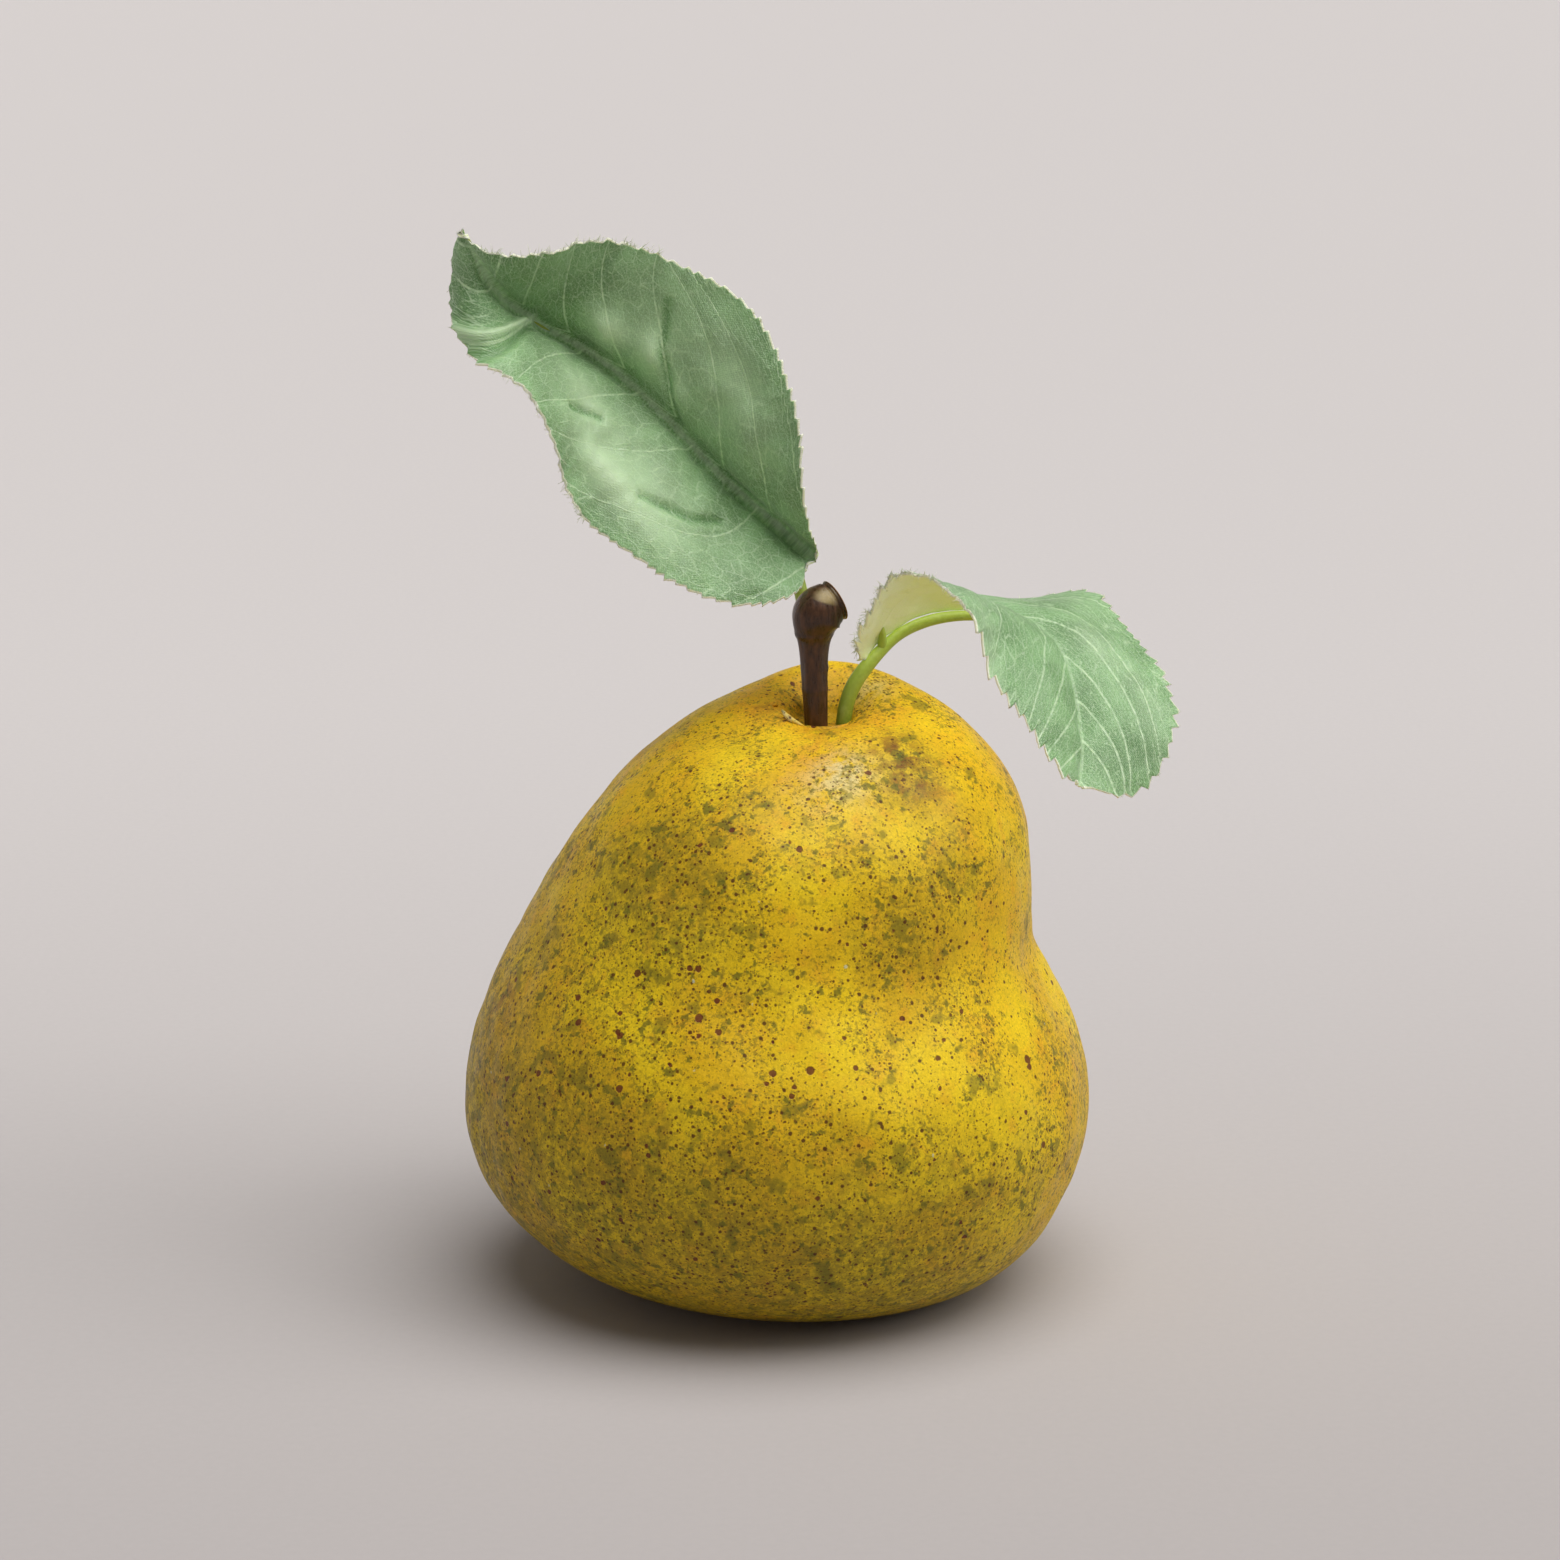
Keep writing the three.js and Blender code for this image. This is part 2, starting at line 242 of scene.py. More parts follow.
def make_piece(
    name: str,
    points: Array,
    faces: list[list[int]],
    material: bpy.types.Material,
    values: dict[str, Array] | None = None,
    cloth_map: Array | None = None,
) -> bpy.types.Object:
    """Makes one smooth mesh object that rides on the body.

    Args:
        name: name of the piece.
        points: vertices in design millimetres.
        faces: vertex numbers of each face.
        material: its finish.
        values: named numbers, one for each vertex, that the finish reads.
        cloth_map: places on the flat cloth, one pair for each vertex, in millimetres.

    Returns:
        The new object.
    """
    mesh = bpy.data.meshes.new(name)
    mesh.from_pydata(Row.metres(points).tolist(), [], faces)
    mesh.polygons.foreach_set("use_smooth", np.ones(len(mesh.polygons), bool))
    for key, numbers in (values or {}).items():
        layer = mesh.attributes.new(key, "FLOAT", "POINT")
        layer.data.foreach_set("value", np.asarray(numbers, np.float32).ravel())
    if cloth_map is not None:
        corners = np.empty(len(mesh.loops), np.int32)
        mesh.loops.foreach_get("vertex_index", corners)
        layer = mesh.uv_layers.new(name="cloth")
        layer.data.foreach_set("uv", (cloth_map[corners] * CLOTH_MAP_SCALE).astype(np.float32).ravel())
    mesh.materials.append(material)
    mesh.update()
    piece = bpy.data.objects.new(name, mesh)
    bpy.context.scene.collection.objects.link(piece)
    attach(piece, BODY)
    log.info("%s: %d vertices, %d faces", name, len(mesh.vertices), len(mesh.polygons))
    return piece


# ---------------------------------------------------------------- node trees


class Nodes:
    """A node tree being drawn, with one short method for each kind of node used here."""

    def __init__(self, tree: bpy.types.NodeTree) -> None:
        """Starts on an empty tree.

        Args:
            tree: the material's or the group's node tree.
        """
        self.tree = tree

    def add(self, kind: str, **settings: object) -> bpy.types.Node:
        """Adds a node and sets its properties.

        Args:
            kind: the node's type.
            settings: its properties by name.

        Returns:
            The new node.
        """
        node = self.tree.nodes.new(kind)
        for key, value in settings.items():
            setattr(node, key, value)
        return node

    def fill(self, sockets: Iterable[Socket], values: Iterable[object]) -> None:
        """Feeds each socket in turn with the value of the same place."""
        for socket, value in zip(sockets, values):
            self.feed(socket, value)

    def feed(self, socket: Socket, value: object) -> None:
        """Links a socket to another one, or sets its number or colour.

        Args:
            socket: the input to fill.
            value: an output socket, a number, a colour or a vector.
        """
        if isinstance(value, bpy.types.NodeSocket):
            self.tree.links.new(value, socket)
        elif value is not None:
            wanted = tuple(value) if hasattr(value, "__len__") else value
            if hasattr(wanted, "__len__") and len(wanted) == 3 and socket.type == "RGBA":
                wanted = (*wanted, 1.0)
            socket.default_value = wanted

    def math(self, operation: str, *values: object, clamp: bool = False) -> Socket:
        """Adds a Math node.

        Args:
            operation: the sum to work out.
            values: its numbers or sockets, in order.
            clamp: whether the result stays between 0 and 1.

        Returns:
            The result.
        """
        node = self.add("ShaderNodeMath", operation=operation, use_clamp=clamp)
        self.fill(node.inputs, values)
        return node.outputs[0]

    def vector(self, operation: str, *values: object) -> Socket:
        """Adds a Vector Math node.

        Args:
            operation: the sum to work out.
            values: its vectors, in order; SCALE takes its factor as the second value.

        Returns:
            The resulting vector, or for DISTANCE the resulting number.
        """
        node = self.add("ShaderNodeVectorMath", operation=operation)
        inputs = (node.inputs[0], node.inputs["Scale"]) if operation == "SCALE" else node.inputs
        self.fill(inputs, values)
        return node.outputs["Value" if operation == "DISTANCE" else "Vector"]

    def combine(self, x: object, y: object) -> Socket:
        """A vector put together from two numbers and 0.

        Args:
            x: the first number.
            y: the second.

        Returns:
            The vector.
        """
        node = self.add("ShaderNodeCombineXYZ")
        self.fill(node.inputs, (x, y))
        return node.outputs[0]

    def band(
        self, value: object, low: object, high: object, start: object = 0.0, end: object = 1.0,
    ) -> Socket:
        """A smooth step.

        Args:
            value: the number to look at.
            low: where the step starts.
            high: where it ends.
            start: the result below low.
            end: the result above high.

        Returns:
            A number from start to end.
        """
        node = self.add("ShaderNodeMapRange", interpolation_type="SMOOTHSTEP")
        self.fill(node.inputs, (value, low, high, start, end))
        return node.outputs[0]

    def mix(self, factor: object, first: object, second: object, blend: str = "MIX") -> Socket:
        """Adds a Mix node for colours.

        Args:
            factor: how much of the second colour shows, 0 to 1.
            first: the colour below.
            second: the colour above.
            blend: how the two are put together.

        Returns:
            The colour.
        """
        node = self.add("ShaderNodeMix", data_type="RGBA", blend_type=blend, clamp_factor=True)
        self.fill((node.inputs[0], node.inputs[6], node.inputs[7]), (factor, first, second))
        return node.outputs[2]

    def layer(self, colour: Socket, paint: object, mask: object, strength: float) -> Socket:
        """Lays a paint over a colour where a mask shows, at a strength from 0 to 1."""
        return self.mix(self.math("MULTIPLY", mask, strength), colour, paint)

    def split(self, vector: Socket) -> Sequence[Socket]:
        """The three numbers of a vector.

        Args:
            vector: the vector to take apart.

        Returns:
            Its x, y and z.
        """
        node = self.add("ShaderNodeSeparateXYZ")
        self.feed(node.inputs[0], vector)
        return node.outputs

    def noise(self, place: object, scale: object, detail: float = 2.0, rough: float = 0.5) -> Socket:
        """Cloudy noise about 0.5.

        Args:
            place: where it is read.
            scale: clouds per unit of place.
            detail: how many finer layers it has.
            rough: how strong the finer layers are.

        Returns:
            A number about 0.5.
        """
        node = self.add("ShaderNodeTexNoise")
        names = ("Vector", "Scale", "Detail", "Roughness")
        self.fill((node.inputs[name] for name in names), (place, scale, detail, rough))
        return node.outputs["Fac"]

    def jitter(self, place: object, scale: object, amount: object) -> Socket:
        """Moves places about by a coloured noise, so that shapes lose their regular outline.

        Args:
            place: the places to move.
            scale: swings per unit of place.
            amount: how far they move.

        Returns:
            The moved places.
        """
        node = self.add("ShaderNodeTexNoise")
        self.fill((node.inputs["Vector"], node.inputs["Scale"]), (place, scale))
        away = self.vector("SUBTRACT", node.outputs["Color"], (0.5, 0.5, 0.5))
        return self.vector("ADD", place, self.vector("SCALE", away, amount))

    def value(self, name: str) -> Socket:
        """A number stored on the piece's vertices."""
        return self.add("ShaderNodeAttribute", attribute_name=name).outputs["Fac"]

    def millimetres(self) -> Socket:
        """Object coordinates in millimetres."""
        coordinates = self.add("ShaderNodeTexCoord")
        return self.vector("SCALE", coordinates.outputs["Object"], 1 / MM)

    def group(self, tree: bpy.types.NodeTree, **values: object) -> bpy.types.Node:
        """Places a node group.

        Args:
            tree: the group's own tree.
            values: what its inputs are fed, by name.

        Returns:
            The group's node.
        """
        node = self.add("ShaderNodeGroup", node_tree=tree)
        for key, value in values.items():
            self.feed(node.inputs[key], value)
        return node

    def bump(self, height: object, distance: float, under: Socket | None = None) -> Socket:
        """Adds a Bump node.

        Args:
            height: height of the relief, about 0 to 1.
            distance: how deep a height of 1 is, in metres.
            under: the normal that it starts from.

        Returns:
            The normal.
        """
        node = self.add("ShaderNodeBump")
        names = ("Height", "Distance", "Strength", "Normal")
        self.fill((node.inputs[name] for name in names), (height, distance, 1.0, under))
        return node.outputs[0]


def new_group(name: str, inputs: dict[str, tuple[str, object]], outputs: dict[str, str]) -> tuple:
    """Starts a shader node group.

    Args:
        name: name of the group.
        inputs: the kind and the first value of each input, by name.
        outputs: the kind of each output, by name.

    Returns:
        The node tree, its drawing helper, its input sockets by name and its output node.
    """
    tree = bpy.data.node_groups.new(name, "ShaderNodeTree")
    for key, (kind, value) in inputs.items():
        socket = tree.interface.new_socket(key, in_out="INPUT", socket_type=kind)
        if kind == "NodeSocketFloat":
            socket.default_value = value
    for key, kind in outputs.items():
        tree.interface.new_socket(key, in_out="OUTPUT", socket_type=kind)
    nodes = Nodes(tree)
    entry = nodes.add("NodeGroupInput")
    return tree, nodes, entry.outputs, nodes.add("NodeGroupOutput").inputs


class Effects:
    """The node groups that several finishes share. Each is drawn once."""

    def __init__(self) -> None:
        """Draws the groups."""
        self.specks = self._specks()
        self.grain = self._grain()
        self.weave = self._weave()

    def grained(
        self, n: Nodes, colour: Socket, place: Socket, size: float, amount: float,
    ) -> tuple[Socket, Socket]:
        """Places the grain group on a colour.

        Args:
            n: helper of the material's tree.
            colour: the colour to make uneven.
            place: object coordinates in millimetres.
            size: size of the grains, in millimetres.
            amount: how much the colour changes.

        Returns:
            The uneven colour and the grain's height.
        """
        grain = n.group(self.grain, Place=place, Size=size, Amount=amount)
        return n.mix(1.0, colour, grain.outputs["Tone"], "MULTIPLY"), grain.outputs["Height"]

    def _specks(self) -> bpy.types.NodeTree:
        """Round specks, one in some of the cells of a random cell pattern, each with its own size.

        Returns:
            A group that puts out Mask, 1 inside a speck, and Centre, 1 at its middle.
        """
        tree, n, given, out = new_group(
            "specks",
            {
                "Place": (VECTOR, None),
                "Cell": (FLOAT, 1.0),
                "Share": (FLOAT, 0.5),
                "Radius": (FLOAT, 0.2),
                "Softness": (FLOAT, 0.4),
            },
            {"Mask": FLOAT, "Centre": FLOAT},
        )
        cells = n.add("ShaderNodeTexVoronoi", feature="F1")
        n.feed(cells.inputs["Vector"], given["Place"])
        n.feed(cells.inputs["Scale"], n.math("DIVIDE", 1.0, given["Cell"]))
        parts = n.add("ShaderNodeSeparateColor")
        n.feed(parts.inputs[0], cells.outputs["Color"])
        there = n.math("LESS_THAN", parts.outputs[0], given["Share"])
        size = n.math("MULTIPLY", given["Radius"], n.math("MULTIPLY_ADD", parts.outputs[1], 0.9, 0.55))
        away = n.math("MULTIPLY", cells.outputs["Distance"], given["Cell"])
        inner = n.math("MULTIPLY", size, n.math("SUBTRACT", 1.0, given["Softness"]))
        mask = n.band(away, inner, size, 1.0, 0.0)
        n.feed(out["Mask"], n.math("MULTIPLY", mask, there))
        n.feed(out["Centre"], n.math("MULTIPLY", n.band(away, 0.0, inner, 1.0, 0.0), there))
        return tree

    def _grain(self) -> bpy.types.NodeTree:
        """Fine unevenness of a moulded or painted surface.

        Returns:
            A group that puts out Tone about 1, to multiply a colour with, and Height about 0.
        """
        tree, n, given, out = new_group(
            "grain",
            {"Place": (VECTOR, None), "Size": (FLOAT, 0.3), "Amount": (FLOAT, 0.2)},
            {"Tone": FLOAT, "Height": FLOAT},
        )
        scale = n.math("DIVIDE", 1.0, given["Size"])
        fine = n.noise(given["Place"], scale, 3.0, 0.6)
        level = n.math("SUBTRACT", fine, 0.5)
        n.feed(out["Tone"], n.math("MULTIPLY_ADD", level, given["Amount"], 1.0))
        n.feed(out["Height"], level)
        return tree

    def _weave(self) -> bpy.types.NodeTree:
        """Plain weave: threads of two directions that show by turns, each with streaks along it.

        Returns:
            A group that puts out Tone, 0 to 1, and Height, 0 to 1, on places in millimetres.
        """
        tree, n, given, out = new_group(
            "weave",
            {"Place": (VECTOR, None), "Pitch": (FLOAT, 0.25)},
            {"Tone": FLOAT, "Height": FLOAT},
        )
        turned = n.vector("SCALE", given["Place"], n.math("DIVIDE", 2 * math.pi, given["Pitch"]))
        parts = n.split(turned)
        over = n.math("MULTIPLY", n.math("SINE", parts[0]), n.math("SINE", parts[1]))
        long_streaks = n.noise(n.vector("MULTIPLY", given["Place"], (3.4, 7.0, 1.0)), 1.0, 2.0)
        cross_streaks = n.noise(n.vector("MULTIPLY", given["Place"], (7.0, 3.4, 1.0)), 1.0, 2.0)
        streaks = n.math("ADD", long_streaks, cross_streaks)
        n.feed(out["Tone"], n.math("MULTIPLY", streaks, 0.5))
        n.feed(out["Height"], n.math("MULTIPLY_ADD", over, 0.25, n.math("MULTIPLY", streaks, 0.5)))
        return tree


def new_material(name: str) -> tuple[bpy.types.Material, Nodes, bpy.types.Node]:
    """Starts a material with an empty Principled shader.

    Args:
        name: name of the material.

    Returns:
        The material, the drawing helper of its tree, and its Principled node.
    """
    material = bpy.data.materials.new(name)
    material.use_nodes = True
    material.node_tree.nodes.clear()
    nodes = Nodes(material.node_tree)
    shader = nodes.add("ShaderNodeBsdfPrincipled")
    output = nodes.add("ShaderNodeOutputMaterial")
    material.node_tree.links.new(shader.outputs[0], output.inputs["Surface"])
    return material, nodes, shader


# ---------------------------------------------------------------- finishes


class Tint(Enum):
    """Patches of the paint that the vertices carry. The olive tint also carries painted shade towards the
    bottom and the left, and the pale tint also carries painted highlights in front of the pocket.
    """

    OLIVE_AND_SHADE = "olive"
    RUST = "rust"
    BLUSH = "blush"
    PALE_AND_HIGHLIGHT = "pale"


@dataclass(frozen=True)
class Dots:
    """One size of the round brown specks: cell and radius in millimetres, share of cells, strength."""

    cell: float
    share: float
    radius: float
    strength: float


@dataclass(frozen=True)
class PaintedSkin:
    """Satin paint on foam: yellow ochre with orange clouds, green blotches and brown specks.

    The depths of the relief are in metres. The olive tint also paints shade towards the bottom and the left,
    and the pale tint paints highlights in front of the pocket.
    """

    golden: Colour = (0.72, 0.45, 0.008)
    lemon: Colour = (0.82, 0.58, 0.01)
    orange: Colour = (0.72, 0.27, 0.02)
    olive: Colour = (0.23, 0.17, 0.014)
    green: Colour = (0.1, 0.11, 0.012)
    brown: Colour = (0.09, 0.03, 0.006)
    maroon: Colour = (0.11, 0.014, 0.01)
    rust: Colour = (0.17, 0.06, 0.012)
    pale: Colour = (0.72, 0.62, 0.3)
    fleck: Colour = (0.5, 0.55, 0.4)
    dots: Sequence[Dots] = (Dots(0.5, 0.9, 0.14, 0.75), Dots(1.0, 0.85, 0.24, 0.9))
    grain_depth: float = 0.00003
    swell_depth: float = 0.00006
    spot_depth: float = 0.00005

    def material(self, effects: Effects, spots: Sequence["Spot"]) -> bpy.types.Material:
        """Draws the paint in layers, from the ground colour up to the single spots.

        Args:
            effects: the shared node groups.
            spots: the larger spots that have a place of their own.

        Returns:
            The finished material.
        """
        material, n, shader = new_material("painted_skin")
        place = n.millimetres()
        torn = n.jitter(place, 1.1, 0.9)
        # The olive tint is olive paint and also painted shade towards the bottom and the left.
        olive = n.value(Tint.OLIVE_AND_SHADE.value)
        crowd = n.band(n.noise(place, 0.11, 2.0), 0.36, 0.66)
        crowd = n.math("ADD", crowd, n.math("MULTIPLY", olive, 0.8), clamp=True)

        colour = self._ground(n, place, torn, olive)
        colour = self._blotches(n, torn, crowd, colour)
        for dot in self.dots:
            share = n.math("MULTIPLY_ADD", crowd, dot.share * 0.75, dot.share * 0.3)
            ragged = n.jitter(place, 2.4, 0.22)
            specks = n.group(effects.specks, Place=ragged, Cell=dot.cell, Share=share, Radius=dot.radius)
            colour = n.layer(colour, self.brown, specks.outputs["Mask"], dot.strength)
        whole, heart = self._spots(n, effects, place, spots)
        colour = n.layer(colour, self.maroon, whole, 0.88)
        colour = n.layer(colour, self.rust, heart, 0.35)
        flecks = n.group(effects.specks, Place=torn, Cell=3.7, Share=0.2, Radius=0.24)
        colour = n.layer(colour, self.fleck, flecks.outputs["Mask"], 0.7)

        colour, grain = effects.grained(n, colour, place, 0.3, 0.8)
        n.feed(shader.inputs["Base Color"], colour)
        n.feed(shader.inputs["Roughness"], n.band(n.noise(place, 0.4, 3.0), 0.3, 0.7, 0.42, 0.55))
        shader.inputs["Specular IOR Level"].default_value = 0.2
        relief = n.bump(grain, self.grain_depth)
        relief = n.bump(n.noise(place, 0.9, 2.0), self.swell_depth, under=relief)
        relief = n.bump(n.math("MULTIPLY", whole, -1.0), self.spot_depth, under=relief)
        n.feed(shader.inputs["Normal"], relief)
        return material

    def _ground(self, n: Nodes, place: Socket, torn: Socket, olive: Socket) -> Socket:
        """The clouded ground with its olive wash and painted shade, its blush, its pale patches (the lifted
        flake and painted highlights) and rust patches and the crown's dashes.

        Args:
            n: helper of the material's tree.
            place: object coordinates in millimetres.
            torn: the same, moved about so that edges are ragged.
            olive: how strong the olive tint is.

        Returns:
            The colour.
        """
        colour = n.mix(n.band(n.noise(place, 0.07, 3.0), 0.38, 0.64), self.golden, self.lemon)
        clouds = n.noise(place, 0.3, 4.0, 0.62)
        colour = n.layer(colour, self.orange, n.band(clouds, 0.5, 0.72), 0.35)
        streaks = n.noise(n.vector("MULTIPLY", torn, (0.55, 0.55, 0.35)), 1.0, 4.0, 0.65)
        heat = n.math("MULTIPLY", n.value(Tint.BLUSH.value), n.band(streaks, 0.3, 0.62, 0.25, 1.0))
        colour = n.layer(colour, self.orange, heat, 0.65)

        wash = n.band(n.noise(place, 0.13, 4.0, 0.6), 0.47, 0.75)
        wash = n.math("ADD", n.math("MULTIPLY", wash, 0.4), n.math("MULTIPLY", olive, 0.75))
        mottle = n.band(n.noise(torn, 0.75, 3.0, 0.6), 0.36, 0.62, 0.4, 1.0)
        colour = n.layer(colour, self.olive, n.math("MULTIPLY", wash, mottle, clamp=True), 0.85)
        # Pale paint on the lifted flake, and painted highlights in front of the pocket.
        pale_and_highlight = n.math("MULTIPLY", n.value(Tint.PALE_AND_HIGHLIGHT.value), n.band(streaks, 0.34, 0.6))
        colour = n.mix(pale_and_highlight, colour, self.pale)
        stain = n.band(n.noise(torn, 0.6, 4.0, 0.65), 0.36, 0.62)
        colour = n.mix(n.math("MULTIPLY", n.value(Tint.RUST.value), stain), colour, self.rust)

        dashes = n.noise(n.vector("MULTIPLY", torn, (1.3, 1.3, 4.5)), 1.0, 4.0, 0.7)
        crown = n.band(n.split(place)[2], 66.0, 75.0, 0.0, 0.75)
        return n.mix(n.math("MULTIPLY", n.band(dashes, 0.6, 0.66), crown), colour, self.rust)

    def _blotches(self, n: Nodes, torn: Socket, crowd: Socket, colour: Socket) -> Socket:
        """Green dabs, larger green blots and small olive ones, denser where the crowd is.

        Args:
            n: helper of the material's tree.
            torn: object coordinates in millimetres, moved about so that edges are ragged.
            crowd: 1 where marks lie close together.
            colour: the colour under them.

        Returns:
            The colour with the blotches on it.
        """
        level = n.math("MULTIPLY_ADD", crowd, -0.08, 0.63)
        kinds = (
            (self.green, n.noise(torn, 0.7, 3.0, 0.6), 0.0, 0.1, 0.78),
            (self.green, n.noise(torn, 0.33, 2.0), 0.03, 0.12, 0.55),
            (self.olive, n.noise(torn, 1.9, 3.0, 0.62), -0.06, 0.03, 0.6),
        )
        for paint, clouds, low, high, strength in kinds:
            mask = n.band(clouds, n.math("ADD", level, low), n.math("ADD", level, high))
            colour = n.layer(colour, paint, mask, strength)
        return colour

    def _spots(
        self, n: Nodes, effects: Effects, place: Socket, spots: Sequence["Spot"],
    ) -> tuple[Socket, Socket]:
        """The red-brown spots: scattered ones and those with a place of their own.

        Args:
            n: helper of the material's tree.
            effects: the shared node groups.
            place: object coordinates in millimetres.
            spots: the spots that have a place of their own.

        Returns:
            A mask of the whole spots and one of their hearts.
        """
        ragged = n.jitter(place, 1.2, 0.6)
        scattered = n.group(effects.specks, Place=ragged, Cell=3.0, Share=0.42, Radius=0.36, Softness=0.3)
        whole, heart = scattered.outputs["Mask"], scattered.outputs["Centre"]
        for spot in spots:
            inner, outer = spot.draw(n, n.jitter(place, 1.4, 0.35))
            whole = n.math("MAXIMUM", whole, outer)
            heart = n.math("MAXIMUM", heart, inner)
        return whole, heart


@dataclass(frozen=True)
class Spot:
    """One larger spot of the paint, darker round its rim."""

    place: Point
    radius: float

    def draw(self, nodes: Nodes, place: Socket) -> tuple[Socket, Socket]:
        """Draws the spot's masks.

        Args:
            nodes: helper of the material's tree.
            place: object coordinates in millimetres, a little torn.

        Returns:
            A mask of the spot's heart and one of the whole spot.
        """
        away = nodes.vector("DISTANCE", place, tuple(self.place + Row.shift_mm()))
        heart = nodes.band(away, 0.0, self.radius * 0.6, 1.0, 0.0)
        return heart, nodes.band(away, self.radius * 0.75, self.radius, 1.0, 0.0)


@dataclass(frozen=True)
class StemPlastic:
    """Dark brown moulded plastic with streaks along it, an amber painted glow where light shines through the
    thin flange and seam, and a beige painted highlight on the head.
    """

    dark: Colour = (0.045, 0.02, 0.009)
    warm: Colour = (0.105, 0.045, 0.02)
    amber: Colour = (0.42, 0.2, 0.05)
    painted_highlight: Colour = (0.36, 0.27, 0.11)
    streak_depth: float = 0.00008
    grain_depth: float = 0.00003

    def material(self, effects: Effects) -> bpy.types.Material:
        """Draws the plastic.

        Args:
            effects: the shared node groups.

        Returns:
            The finished material.
        """
        material, n, shader = new_material("stem_plastic")
        place = n.millimetres()
        streaks = n.noise(n.vector("MULTIPLY", place, (1.6, 1.6, 0.4)), 1.0, 4.0, 0.6)
        colour = n.mix(n.band(streaks, 0.4, 0.75), self.dark, self.warm)
        rings = n.noise(n.vector("MULTIPLY", place, (0.3, 0.3, 3.2)), 1.0, 3.0, 0.6)
        scratches = n.math("MULTIPLY", n.band(rings, 0.6, 0.68), n.band(n.noise(place, 1.4), 0.45, 0.6))
        colour = n.layer(colour, self.warm, scratches, 0.5)
        # Painted highlight: beige on the top front of the head, where the lamp's reflection lies.
        colour = n.mix(n.value("painted_highlight"), colour, self.painted_highlight)
        # Painted glow: amber where light shines through the thin flange and the mould seam on the head.
        colour = n.mix(n.value("thin"), colour, self.amber)
        colour, grain = effects.grained(n, colour, place, 0.4, 0.6)
        n.feed(shader.inputs["Base Color"], colour)
        n.feed(shader.inputs["Roughness"], n.band(streaks, 0.35, 0.65, 0.26, 0.4))
        shader.inputs["Specular IOR Level"].default_value = 0.4
        streaked = n.bump(streaks, self.streak_depth)
        n.feed(shader.inputs["Normal"], n.bump(grain, self.grain_depth, under=streaked))
        return material


@dataclass(frozen=True)
class StalkPlastic:
    """Yellow-green moulded plastic, a little see-through, darker at its foot."""

    lime: Colour = (0.34, 0.45, 0.05)
    deep: Colour = (0.16, 0.24, 0.02)
    light: Colour = (0.42, 0.5, 0.12)
    grain_depth: float = 0.00004

    def material(self, effects: Effects) -> bpy.types.Material:
        """Draws the plastic.

        Args:
            effects: the shared node groups.

        Returns:
            The finished material.
        """
        material, n, shader = new_material("stalk_plastic")
        place = n.millimetres()
        colour = n.mix(n.value("foot"), self.lime, self.deep)
        drift = n.noise(place, 0.5, 3.0)
        colour = n.mix(n.band(drift, 0.5, 0.75, 0.0, 0.5), colour, self.light)
        dust = n.group(effects.specks, Place=place, Cell=0.6, Share=0.4, Radius=0.07)
        colour = n.layer(colour, self.light, dust.outputs["Mask"], 0.4)
        colour, grain = effects.grained(n, colour, place, 0.5, 0.35)
        n.feed(shader.inputs["Base Color"], colour)
        shader.inputs["Roughness"].default_value = 0.42
        shader.inputs["Subsurface Weight"].default_value = 0.15
        shader.inputs["Subsurface Radius"].default_value = (1.0, 1.0, 0.4)
        shader.inputs["Subsurface Scale"].default_value = 0.0008
        n.feed(shader.inputs["Normal"], n.bump(grain, self.grain_depth))
        return material


